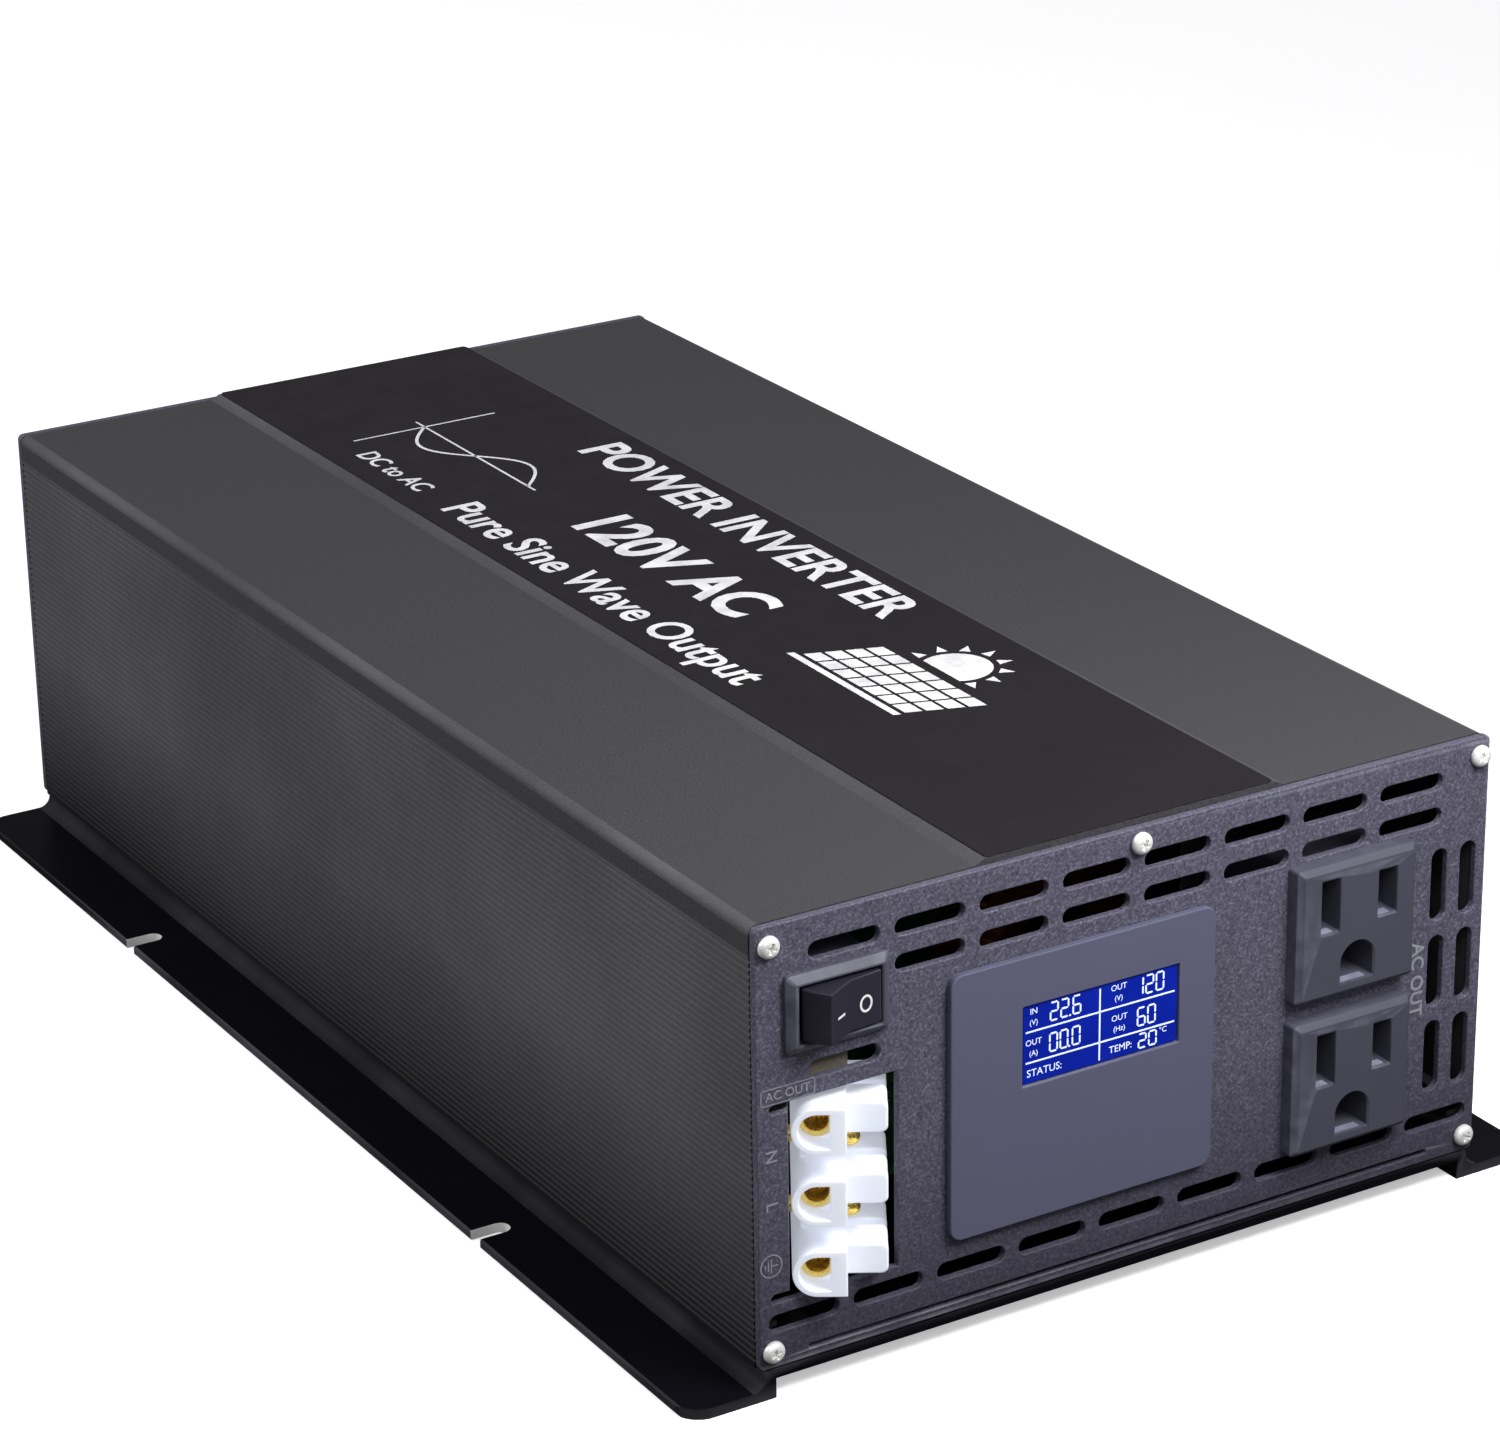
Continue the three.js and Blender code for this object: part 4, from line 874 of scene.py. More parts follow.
def label():
    low, high = box_mm("label_film")
    outline = rounded_rect(low.x, high.x, low.y, high.y, 0.8, 3)
    sheet = sheet_with_holes(outline, [], high.z - low.z, 0.08, 1)
    add("label", moved(sheet, place(0, 0, (low.z + high.z) / 2)), "label_black",
        replaces=["label_film"])


# -- Label print ---------------------------------------------
# It reads towards the front panel, with the letters' tops to +X.

# Words, their place across the label, their distance from the front, size and added weight.
LABEL_LINES = (("POWER INVERTER", 20.4, 166.2, 14.5, 0.35), ("120V AC", -2.6, 155.0, 17.5, 0.55),
               ("Pure Sine Wave Output", -21.8, 150.7, 12.0, 0.22),
               ("DC to AC", -22.6, 234.8, 6.6, 0.1))
WAVE_LENGTH = 46.0
WAVE_SWING = 6.8
WAVE_STEPS = 48
CELLS = (7, 4)
CELL_SIZE = (4.4, 3.1)
CELL_PITCH = (5.1, 3.8)
CELLS_FOOT = -13
CELLS_LEAN = 0.35
SUN_AT = Vector((1.5, 7.2))
SUN_R = 7.0
RAY_HALF_WIDTH = 1.1
RAY_REACH = (1.3, 4.2)


def on_label(x, from_front):
    """A place on the label for print whose X runs to the front and whose Y runs to the right."""
    z = box_mm("label_film")[1].z + PRINT_T / 2 - 0.005
    return place(x, FRONT + from_front, z) @ rotation("Z", -90)


def sine_icon():
    """A mains wave drawn over its time axis."""
    here = on_label(-3.8, 234)
    wave = [(-WAVE_LENGTH / 2 + WAVE_LENGTH * i / WAVE_STEPS,
             WAVE_SWING * -math.sin(2 * math.pi * i / WAVE_STEPS)) for i in range(WAVE_STEPS + 1)]
    return [strip([(-27, 0), (26, 0)], 0.5, here), strip([(-23, -17), (-23, 17)], 0.5, here),
            strip(wave, 0.7, here)]


def solar_icon():
    """A plain round sun with straight rays over a flat panel of cells."""
    here = on_label(6.5, 79)
    width, height = CELL_SIZE
    parts = []
    for i in range(CELLS[0]):
        for k in range(CELLS[1]):
            v = CELLS_FOOT + k * CELL_PITCH[1]
            u = (i - (CELLS[0] - 1) / 2) * CELL_PITCH[0] + CELLS_LEAN * v
            lean = CELLS_LEAN * height
            parts.append(filled([(u, v), (u + width, v), (u + width + lean, v + height),
                                 (u + lean, v + height)], here))
    parts.append(filled([(-22, -15.4), (15, -15.4), (15.4, -14), (-21.5, -14)], here))
    parts.append(filled(arc(*SUN_AT, SUN_R, -28, 208, 30), here))
    for degrees in range(-15, 196, 30):
        a = math.radians(degrees)
        out = Vector((math.cos(a), math.sin(a)))
        side = Vector((-math.sin(a), math.cos(a))) * RAY_HALF_WIDTH
        foot, tip = (SUN_AT + out * (SUN_R + reach) for reach in RAY_REACH)
        parts.append(filled([tuple(foot - side), tuple(tip), tuple(foot + side)], here))
    return parts


def label_print():
    words = [lettering(text, size, on_label(x, from_front), weight)
             for text, x, from_front, size, weight in LABEL_LINES]
    printed("label_print", [*words, *sine_icon(), *solar_icon()], LABEL_INK)


# -- End panels ----------------------------------------------

VENT_LONG = 14.1
VENT_SHORT = 3.25
VENT_PITCH = 17.15
PANEL_EDGE = 0.3
PANEL_CORNER = 1.2
SCREW_HOLE_R = 1.65

# Heights on the panels are measured up from the panel's bottom edge.
# Rows of vents: the first one's place in pitches from the middle, their number and height.
FRONT_VENTS = ((-3.5, 8, 76.6), (-2.5, 7, 69.9), (-4, 9, 8.5), (-3.5, 1, 54.7))
REAR_VENTS = ((-4, 9, 6.2),)
SIDE_VENT_SIZE = (3.5, 14.2)
SIDE_VENT_XS = (67.1, 73.65)
SIDE_VENT_ZS = (56.0, 38.85, 21.7)
SLIT_X = (-67.6, 66.8)
SLIT_Z = (1.7, 2.6)
WINDOW_X = (-71.4, -49.4)
WINDOW_Z = (12.4, 50.0)
LCD_X = (-24.75, 8.4)
LCD_Z = (40.7, 55.9)
LCD_FRAME = 1.8
SWITCH_AT = (-62.0, 66.3)
SWITCH_BODY = (18.4, 12.6)
OUTLET_X = 46.0
OUTLET_ZS = (54.65, 24.45)
OUTLET_BODY = 23.6
FIT = 0.3


def vents(rows):
    return [stadium((first + k) * VENT_PITCH, BOTTOM + height, VENT_LONG, VENT_SHORT)
            for first, count, height in rows for k in range(count)]


def end_panel(name, node, holes, y0, y1):
    """A painted plate with its own holes and those of its five screws, between two depths."""
    holes = holes + [circle(x, z, SCREW_HOLE_R, 20) for x, z in SCREWS]
    outline = rounded_rect(-HALF_W, HALF_W, BOTTOM, TOP, PANEL_CORNER, 5)
    add(name, upright_plate(outline, holes, y0, y1, PANEL_EDGE), "panel_paint", replaces=[node])


def window_loop():
    """The terminal window, with a round-ended notch at each left corner."""
    x0, x1 = WINDOW_X
    z0, z1 = BOTTOM + WINDOW_Z[0], BOTTOM + WINDOW_Z[1]
    r = 0.85
    tip = x0 - 3.7 + r
    return ([(x0, z0), (x1, z0), (x1, z1), (x0, z1)] + arc(tip, z1 - r, r, 90, 270, 8)
            + [(x0, z1 - 2 * r), (x0, z0 + 2 * r)] + arc(tip, z0 + r, r, 90, 270, 8))


def square_hole(x, z, width, height):
    return rounded_rect(x - width / 2, x + width / 2, z - height / 2, z + height / 2, 0.3, 2)


def front_panel():
    lcd_x, lcd_z = sum(LCD_X) / 2, BOTTOM + sum(LCD_Z) / 2
    grow = 2 * (LCD_FRAME + FIT)
    holes = vents(FRONT_VENTS)
    holes += [stadium(x, BOTTOM + z, *SIDE_VENT_SIZE) for x in SIDE_VENT_XS for z in SIDE_VENT_ZS]
    holes += [square_hole(lcd_x, lcd_z, LCD_X[1] - LCD_X[0] + grow, LCD_Z[1] - LCD_Z[0] + grow),
              square_hole(SWITCH_AT[0], BOTTOM + SWITCH_AT[1], SWITCH_BODY[0] + 2 * FIT,
                          SWITCH_BODY[1] + 2 * FIT)]
    holes += [square_hole(OUTLET_X, BOTTOM + z, OUTLET_BODY + 2 * FIT, OUTLET_BODY + 2 * FIT)
              for z in OUTLET_ZS]
    holes += [rounded_rect(*SLIT_X, BOTTOM + SLIT_Z[0], BOTTOM + SLIT_Z[1], 0.4, 3), window_loop()]
    end_panel("front_plate", "front_panel", holes, FRONT, FRONT + PANEL_T)


def axis_place(node):
    """The (x, z) that a CAD node is centred on."""
    low, high = box_mm(node)
    return (low.x + high.x) / 2, (low.z + high.z) / 2


FAN_X = 0.0
FAN_Z = axis_place("fan_frame")[1]
FAN_OPENING_R = 27.6
FAN_HOLE_R = 1.9
FAN_HOLE_PITCH = 50.0
FAN_CORNERS = [(FAN_X + i * FAN_HOLE_PITCH / 2, FAN_Z + k * FAN_HOLE_PITCH / 2)
               for i in (-1, 1) for k in (-1, 1)]


POLES = ("positive", "negative")
STUDS = {pole: [axis_place(f"dc_stud_{pole}_{i}") for i in (1, 2)] for pole in POLES}
STUD_HOLE_R = 7.2


def rear_panel():
    holes = vents(REAR_VENTS) + [circle(FAN_X, FAN_Z, FAN_OPENING_R, 72)]
    holes += [circle(x, z, FAN_HOLE_R, 20) for x, z in FAN_CORNERS]
    holes += [circle(x, z, STUD_HOLE_R, 36) for pole in POLES for x, z in STUDS[pole]]
    end_panel("rear_plate", "rear_panel", holes, REAR - PANEL_T, REAR)


def on_front(x, height, proud=0.0):
    """A place for print on the front: X to the right, Y up, and its face towards -Y."""
    return place(x, FRONT - proud - PRINT_T / 2 + 0.005, BOTTOM + height) @ rotation("X", 90)


EARTH_LINE = 0.22
TITLE_LINE = 0.18


def front_print():
    turned = rotation("Z", -90)
    window_title = on_front(-71.4, 51.8)
    earth = on_front(-75.1, 19.9) @ turned
    earth_lines = [[(0, 1.4), (0, 0)]]
    earth_lines += [[(-half, v), (half, v)] for half, v in ((1.3, 0.0), (0.85, -0.6), (0.4, -1.2))]
    marks = [lettering("AC OUT", 2.35, window_title, 0.02),
             strip(rounded_rect(-5.3, 5.3, -1.45, 1.45, 0.3, 2), TITLE_LINE, window_title,
                   closed=True),
             lettering("N", 3.3, on_front(-74.9, 40.6) @ turned, 0.02),
             lettering("L", 3.3, on_front(-74.9, 31.2) @ turned, 0.02),
             lettering("AC OUT", 3.9, on_front(62.8, 38.2) @ turned, 0.06),
             strip(circle(0, 0, 2.1, 36), EARTH_LINE, earth, closed=True)]
    marks += [strip(line, EARTH_LINE, earth) for line in earth_lines]
    printed("front_print", marks, PANEL_INK)


# -- Fasteners -----------------------------------------------

def pan_screw(head_r, head_h, shank_r, length):
    """A cross-recess pan-head screw along Y, head towards -Y and its seat at y = 0."""
    dome = [(head_r * math.cos(math.radians(a)) ** 0.6,
             -0.25 * head_h - 0.75 * head_h * math.sin(math.radians(a)))
            for a in range(0, 90, 9)]
    profile = [(0, -head_h), *dome[::-1], (head_r, -0.12 * head_h), (head_r - 0.12, 0),
               (shank_r, 0), (shank_r, length - 0.6), (shank_r - 0.5, length), (0, length)]
    body = lathe(profile, 36)
    arm, half, depth = head_r * 0.56, head_r * 0.13, head_h * 0.62

    def wing(turn):
        mouth = [(-arm, -half), (arm, -half), (arm, half), (-arm, half)]
        floor = [(0.45 * u, 0.8 * v) for u, v in mouth]
        cutter = loft([wall_y([(1.1 * u, 1.3 * v) for u, v in mouth], -head_h - 0.3),
                       wall_y(floor, -head_h + depth)])
        return moved(cutter, rotation("Y", turn))

    return boolean(body, [wing(0), wing(90)])


def screws():
    small = pan_screw(2.05, 1.6, 1.2, 9)
    seat = 0.1
    for i, (x, z) in enumerate(SCREWS):
        front = place(x, FRONT - seat, z) @ rotation("Y", 20 + 47 * i)
        add(f"panel_screw_front_{i + 1}", moved(small, front), "bright_steel",
            replaces=[f"front_screw_{i + 1}"])
        rear = place(x, REAR + seat, z) @ rotation("Z", 180) @ rotation("Y", 35 + 31 * i)
        add(f"panel_screw_rear_{i + 1}", moved(small, rear), "bright_steel",
            replaces=[f"rear_screw_{i + 1}"])
    large = pan_screw(3.4, 2.4, 1.55, 22)
    for i, (x, z) in enumerate(FAN_CORNERS):
        here = place(x, REAR + 2.2, z) @ rotation("Z", 180) @ rotation("Y", 15 + 53 * i)
        add(f"guard_screw_{i + 1}", moved(large, here), "bright_steel",
            replaces=[fan_screw_at(x, z)])


def fan_screw_at(x, z):
    """The CAD screw nearest to a corner of the fan."""
    nodes = [f"fan_screw_{i}" for i in range(1, 5)]
    return min(nodes, key=lambda node: math.dist(axis_place(node), (x, z)))


def threaded_rod(major, minor, pitch, length, tip, steps, per_turn=8):
    """A round bar along +Y with a right-hand helical thread and a chamfer at its far end."""
    rows = round(length / pitch * per_turn)
    loops = []
    for k in range(rows + 1):
        y = length * k / rows
        loop = []
        for i, a in enumerate(turns(steps)):
            phase = (y / pitch + i / steps) % 1
            crest = min(1, 1.35 * (1 - abs(2 * phase - 1)))
            r = min(minor + (major - minor) * crest, major - tip + (length - y))
            loop.append((r * math.cos(a), y, r * math.sin(a)))
        loops.append(loop)
    return loft(loops)


# -- Display -------------------------------------------------

BEZEL_CORNER = 2.5


def lcd_window(grow, corner, steps):
    """The outline of the display's opening, made larger all round."""
    return rounded_rect(LCD_X[0] - grow, LCD_X[1] + grow, BOTTOM + LCD_Z[0] - grow,
                        BOTTOM + LCD_Z[1] + grow, corner, steps)


def display_bezel():
    low, high = box_mm("display_bezel")
    opening = lcd_window(0, 0.25, 3)
    collar = lcd_window(LCD_FRAME, 0.5, 3)
    outline = rounded_rect(low.x, high.x, low.z, high.z, BEZEL_CORNER, 8)
    plate = upright_plate(outline, [opening], low.y, SEAT, 0.3)
    sleeve = ring_loft([wall_y(collar, SEAT - 0.5), wall_y(collar, high.y),
                        wall_y(opening, high.y), wall_y(opening, SEAT - 0.5)])
    add("display_plate", boolean(plate, [sleeve], "UNION"), "bezel_plastic",
        replaces=["display_bezel"])


LCD_FACE = FRONT - 1.1
SEGMENTS = {"0": "abcdef", "1": "bc", "2": "abged", "6": "acdefg"}
DIGIT_WIDTH = 1.55
DIGIT_HEIGHT = 3.4
DIGIT_STEP = 2.2
BAR_WIDTH = 0.34
BAR_GAP = 0.07
# Name, unit, their place across, the row's foot, the digits and where they start.
READINGS = (("IN", "(V)", -22.3, 51.8, "22.6", -18.8), ("OUT", "(A)", -22.3, 45.9, "00.0", -18.9),
            ("OUT", "(V)", -4.4, 51.8, "120", -0.8), ("OUT", "(Hz)", -4.2, 45.9, "60", -0.3))
# Words, their size, their place across and their height.
LCD_WORDS = (("STATUS:", 2.0, -20.0, 42.7), ("TEMP:", 1.9, -3.9, 42.7), ("°C", 1.5, 5.2, 43.8))
LCD_DIVIDER = -8.4
LCD_ROWS = (50.75, 44.85)
LCD_LINE = 0.32


def lcd_module():
    low, high = box_mm("lcd_module")
    glass = lcd_window(-FIT, 0.2, 2)
    rim = rounded_rect(low.x, high.x, low.z, high.z, 0.6, 2)
    step = FRONT + 3.7
    add("lcd", loft([wall_y(glass, LCD_FACE), wall_y(glass, step), wall_y(rim, step),
                     wall_y(rim, high.y)]), "lcd_glass", replaces=["lcd_module"])


def seven_segment(digit, here, height):
    """One digit of seven pointed bars, its lower left corner at the origin of here."""
    width, half = DIGIT_WIDTH, height / 2
    ends = {"a": ((0, height), (width, height)), "b": ((width, height), (width, half)),
            "c": ((width, half), (width, 0)), "d": ((0, 0), (width, 0)),
            "e": ((0, half), (0, 0)), "f": ((0, height), (0, half)),
            "g": ((0, half), (width, half))}
    bars = []
    for name in SEGMENTS[digit]:
        start, end = Vector(ends[name][0]), Vector(ends[name][1])
        run = (end - start).normalized()
        side = Vector((-run.y, run.x)) * BAR_WIDTH / 2
        point = run * BAR_WIDTH / 2
        a, b = start + run * BAR_GAP, end - run * BAR_GAP
        outline = [a, a + point - side, b - point - side, b, b - point + side, a + point + side]
        bars.append(filled([tuple(corner) for corner in outline], here))
    return bars


def readout(text, x, height, tall=DIGIT_HEIGHT):
    """A row of digits and points that starts at x, its foot at that height."""
    parts = []
    for mark in text:
        if mark == ".":
            parts.append(filled(circle(x - 0.3, 0, 0.2, 10), lcd_at(0, height)))
            x += 0.35
        else:
            parts += seven_segment(mark, lcd_at(x, height), tall)
            x += DIGIT_STEP
    return parts


def lcd_at(x, height):
    return on_front(x, height, FRONT - LCD_FACE)


def lcd_print():
    left, right = LCD_X[0] + 0.8, LCD_X[1] - 0.8
    lines = [[(LCD_DIVIDER, LCD_Z[0] + 0.7), (LCD_DIVIDER, LCD_Z[1] - 0.7)]]
    lines += [[(left, z), (right, z)] for z in LCD_ROWS]
    parts = [strip(line, LCD_LINE, lcd_at(0, 0)) for line in lines]
    for name, unit, x, foot, digits, start in READINGS:
        parts.append(lettering(name, 1.6, lcd_at(x, foot + 2.7)))
        parts.append(lettering(unit, 1.45, lcd_at(x, foot + 0.6)))
        parts += readout(digits, start, foot)
    parts += readout("20", 0.0, 41.5, 2.7)
    parts += [lettering(text, size, lcd_at(x, height)) for text, size, x, height in LCD_WORDS]
    printed("lcd_readout", parts, LCD_INK)


# -- Switch and outlets --------------------------------------
# Mouldings stepped from one rounded rectangle to the next.

def stepped(x, z, sections):
    """A skin through rounded rectangles, each given as (y, half width, half height, radius)."""
    return loft([wall_y(rounded_rect(x - w, x + w, z - h, z + h, r, 4), y)
                 for y, w, h, r in sections])


SWITCH_BACK = FRONT + 14
SWITCH_WELL = (8.2, 5.4)
SWITCH_CHAMFER = 1.3
SPADE_XS = (-4.6, 4.6)
SPADE_END = FRONT + 22


def switch_housing():
    x, z = SWITCH_AT[0], BOTTOM + SWITCH_AT[1]
    low, high = box_mm("switch_housing")
    half_w, half_h = (high.x - low.x) / 2, (high.z - low.z) / 2
    body_w, body_h = SWITCH_BODY[0] / 2, SWITCH_BODY[1] / 2
    well_w, well_h = SWITCH_WELL
    face, chamfer = low.y, SWITCH_CHAMFER
    housing = stepped(x, z, [
        (SWITCH_BACK, body_w, body_h, 0.4), (SEAT, body_w, body_h, 0.4),
        (SEAT, half_w, half_h, 0.8), (face + chamfer, half_w, half_h, 0.8),
        (face + 0.1, half_w - chamfer + 0.1, half_h - chamfer + 0.1, 0.4),
        (face, half_w - chamfer - 0.1, half_h - chamfer - 0.1, 0.3),
        (face, well_w + 0.2, well_h + 0.2, 0.5), (face + 0.2, well_w, well_h, 0.4),
        (FRONT + 9, well_w, well_h, 0.4)])
    spades = [block(x + dx - 0.4, x + dx + 0.4, SWITCH_BACK - 0.1, SPADE_END, z - 2.4, z + 2.4)
              for dx in SPADE_XS]
    add("switch_case", boolean(housing, spades, "UNION"), "black_plastic",
        replaces=["switch_housing"])


ROCKER_TILT = 18.4
ROCKER_HALF_H = 4.8
ROCKER_FOLD = 4.13
ROCKER_CORNER = (6.53, 5.4)
ROCKER_SLOPE = (ROCKER_CORNER[1] - ROCKER_FOLD) / ROCKER_CORNER[0]
ROCKER_PLACE = place(SWITCH_AT[0], FRONT + 0.8, BOTTOM + SWITCH_AT[1]) @ rotation("Z", ROCKER_TILT)


def on_rocker(x, height):
    """A place for print on the rocker's sloping face, a distance to one side of its fold."""
    turn = math.degrees(math.atan(ROCKER_SLOPE)) * (1 if x < 0 else -1)
    y = -ROCKER_FOLD - ROCKER_SLOPE * abs(x) - PRINT_T / 2
    return ROCKER_PLACE @ place(x, y, height) @ rotation("Z", turn) @ rotation("X", 90)


def rocker():
    """The rocker, drawn untipped round its pivot with -Y outward: a shallow V between two ends."""
    side = [ROCKER_CORNER, (7.5, 2.49), (7.9, 0), (4.2, -3.4)]
    loop = [(0, -ROCKER_FOLD)] + [(u, -v) for u, v in side] + [(-u, -v) for u, v in reversed(side)]
    solid = bevelled(prism_z(loop, -ROCKER_HALF_H, ROCKER_HALF_H), 0.3, 3, 25)
    add("rocker_cap", moved(solid, ROCKER_PLACE), "rocker_plastic", "rocker", ["switch_rocker"])
    ring = [(1.16 * math.cos(a), 1.4 * math.sin(a)) for a in [math.radians(9 * i) for i in range(40)]]
    printed("rocker_marks", [strip(ring, 0.42, on_rocker(3.2, -0.5), closed=True),
                             strip([(-1.2, 0), (1.2, 0)], 0.42, on_rocker(-3.3, -0.5))],
            SWITCH_INK, "rocker")


OUTLET_BACK = FRONT + 20
OUTLET_CHAMFER = 1.1
TAB_XS = (-7, 0, 7)
PRONG_XS = (-6.35, 6.35)
PRONG_HEIGHTS = (10.2, 8.6)
PRONG_HALF_W = 2
PRONG_Z = 5.2
EARTH_R = 3.6
EARTH_DROP = 6.8
# Paler patches, painted light where the lamp reaches the floors of the two slots and the earth hole:
# from, to and foot.
LIT_FLOOR_MARKS = ((-8.3, -5.6, 0.1), (4.4, 7.1, 0.9), (-3.5, 2.0, -10.4))


def outlet_cutters(z, face):
    """Two prong slots and the earth hole, each with a slightly flared mouth."""
    deep = face + 15
    slots = []
    for dx, height in zip(PRONG_XS, PRONG_HEIGHTS):
        x = OUTLET_X + dx
        slots.append(rounded_rect(x - PRONG_HALF_W, x + PRONG_HALF_W, z + PRONG_Z - height / 2,
                                  z + PRONG_Z + height / 2, 0.25, 3))
    foot = z - EARTH_DROP - EARTH_R
    slots.append([(OUTLET_X - EARTH_R, foot), (OUTLET_X + EARTH_R, foot)]
                 + arc(OUTLET_X, z - EARTH_DROP + 0.3, EARTH_R, 0, 180, 16))
    cutters = []
    for loop in slots:
        centre = sum((Vector(p) for p in loop), Vector((0, 0))) / len(loop)
        flared = [tuple(centre + (Vector(p) - centre) * 1.1) for p in loop]
        cutters.append(loft([wall_y(flared, face - 0.3), wall_y(flared, face),
                             wall_y(loop, face + 0.35), wall_y(loop, deep)]))
    return cutters


def outlets():
    for name, height in zip(("outlet_upper", "outlet_lower"), OUTLET_ZS):
        low, high = box_mm(name)
        z = BOTTOM + height
        half_w, half_h = (high.x - low.x) / 2, (high.z - low.z) / 2
        face, chamfer = low.y, OUTLET_CHAMFER
        body = OUTLET_BODY / 2
        shape = stepped(OUTLET_X, z, [
            (OUTLET_BACK, body, body, 0.4), (SEAT, body, body, 0.4), (SEAT, half_w, half_h, 0.7),
            (face + chamfer + 0.1, half_w, half_h, 0.7),
            (face + chamfer - 0.1, half_w - 0.1, half_h - 0.1, 0.7),
            (face + 0.12, half_w - chamfer + 0.1, half_h - chamfer + 0.1, 0.5),
            (face, half_w - chamfer - 0.1, half_h - chamfer - 0.1, 0.4)])
        tabs = [block(OUTLET_X + dx - 2.5, OUTLET_X + dx + 2.5, OUTLET_BACK - 0.5, high.y,
                      z - 0.4, z + 0.4) for dx in TAB_XS]
        shape = boolean(boolean(shape, outlet_cutters(z, face)), tabs, "UNION")
        add(f"receptacle_{name[7:]}", shape, "black_plastic", replaces=[name])
        # Painted light: thin pale plates where light falls on the floor of each hole.
        lit_marks = [block(OUTLET_X + x0, OUTLET_X + x1, face + 0.4, face + 2.1, z + foot, z + foot + 0.15)
                for x0, x1, foot in LIT_FLOOR_MARKS]
        piece(f"lit_floor_patches_{name[7:]}", merge(*lit_marks), LIT_FLOOR_LOOK, "case")


# -- Output terminals ----------------------------------------
# Drawn in the block's own turned frame: X along its screws, Y inward along the wire barrels.

TERMINAL_YAW = 31.0
TERMINAL_PITCH = 13.53
TERMINAL_Z = 30.62
POLE_R = 4.4
POLE_FLAT = 9.5
BLOCK_LENGTH = 27.0
SNOUT_DEPTH = 4.5
TOWER_END = 16.6
TOWER_HALF = 2.9
TOWER_YS = (5.5, 14.7)
TOWER_LENGTH = 7.2
CLAMP_YS = (TOWER_YS[0] + 3, TOWER_YS[1] + TOWER_LENGTH - 3)
CLAMP_TIP = 3.6
CLAMP_LENGTH = 10.9
BARREL_R = 3.0
BARREL_BORE = 2.1
BARREL_HOLE = BARREL_R + 0.15
MOUTH_FLAT = 6.6
MOUNT_Y = 13.5
MOUNT_SEAT = 9.4
POLE_ZS = (TERMINAL_PITCH, 0.0, -TERMINAL_PITCH)
GAP_ZS = (TERMINAL_PITCH / 2, -TERMINAL_PITCH / 2)
TERMINALS = (place(WINDOW_X[0] + 0.3, FRONT - 0.2, BOTTOM + TERMINAL_Z)
             @ rotation("Z", -TERMINAL_YAW))


def d_loop(z, r, flat):
    """A D-shaped section round a pole's axis: round to the left, flat to the right."""
    return [(flat, z - r), (flat, z + r)] + arc(POLE_R, z, r, 90, 270, 18)


def pole_loop(z, inset):
    return d_loop(z, POLE_R - inset, POLE_FLAT - inset)


def rod_x(radius, x0, x1, y, z):
    """A plain round bar along X."""
    return moved(rod(radius, x0, x1, steps=28), place(0, y, z) @ rotation("Z", -90))


def terminal_pole(z):
    """One pole: a D-shaped tube with two screw towers, rounded at its mouths."""
    soft = 0.35
    near = ((0, soft), (0.1, 0.1), (soft, 0))
    stations = near + tuple((BLOCK_LENGTH - y, inset) for y, inset in reversed(near))
    tube = loft([wall_y(pole_loop(z, inset), y) for y, inset in stations])
    half, round_by = TOWER_HALF, 0.3
    wide = rounded_rect(POLE_R, TOWER_END, z - half, z + half, 1.2, 5)
    slim = rounded_rect(POLE_R, TOWER_END - round_by, z - half + round_by, z + half - round_by, 1.0, 5)
    towers = [loft([wall_y(slim, y), wall_y(wide, y + round_by),
                    wall_y(wide, y + TOWER_LENGTH - round_by), wall_y(slim, y + TOWER_LENGTH)])
              for y in TOWER_YS]
    mouth = [wall_y(d_loop(z, BARREL_HOLE + grow, MOUTH_FLAT + grow), y)
             for y, grow in ((-0.5, 0.2), (0, 0.2), (0.3, 0), (SNOUT_DEPTH, 0))]
    cutters = [loft(mouth),
               prism_y(pole_loop(z, 0.8), BLOCK_LENGTH - SNOUT_DEPTH, BLOCK_LENGTH + 1),
               rod(BARREL_HOLE, SNOUT_DEPTH - 0.01, BLOCK_LENGTH - 1, POLE_R, z)]
    cutters += [rod_x(2.1, POLE_R, TOWER_END + 1, y, z) for y in CLAMP_YS]
    return boolean(boolean(tube, towers, "UNION"), cutters)


def terminal_block():
    poles = [terminal_pole(z) for z in POLE_ZS]
    reach = POLE_R - 0.6
    bosses = [block(1.6, MOUNT_SEAT, MOUNT_Y - 3.2, MOUNT_Y + 3.2,
                    z - TERMINAL_PITCH / 2 + reach, z + TERMINAL_PITCH / 2 - reach)
              for z in GAP_ZS]
    shape = boolean(poles[0], poles[1:] + bosses, "UNION")
    shape = boolean(shape, [rod_x(1.75, 0, MOUNT_SEAT + 1, MOUNT_Y, z) for z in GAP_ZS])
    add("terminal_body", moved(shape, TERMINALS), "white_nylon", replaces=["terminal_block"])


def clamp_screw():
    """A slotted grub screw along +Y, its tip at y = 0."""
    neck = CLAMP_LENGTH - 3.6
    head = lathe([(0, neck), (1.25, neck), (1.85, neck + 0.9), (1.85, CLAMP_LENGTH - 0.3),
                  (1.6, CLAMP_LENGTH), (0, CLAMP_LENGTH)], 28)
    body = boolean(threaded_rod(1.6, 1.25, 0.8, neck + 0.4, 0.4, 20, 6), [head], "UNION")
    return boolean(body, [block(-3, 3, CLAMP_LENGTH - 1, CLAMP_LENGTH + 1, -0.35, 0.35)])


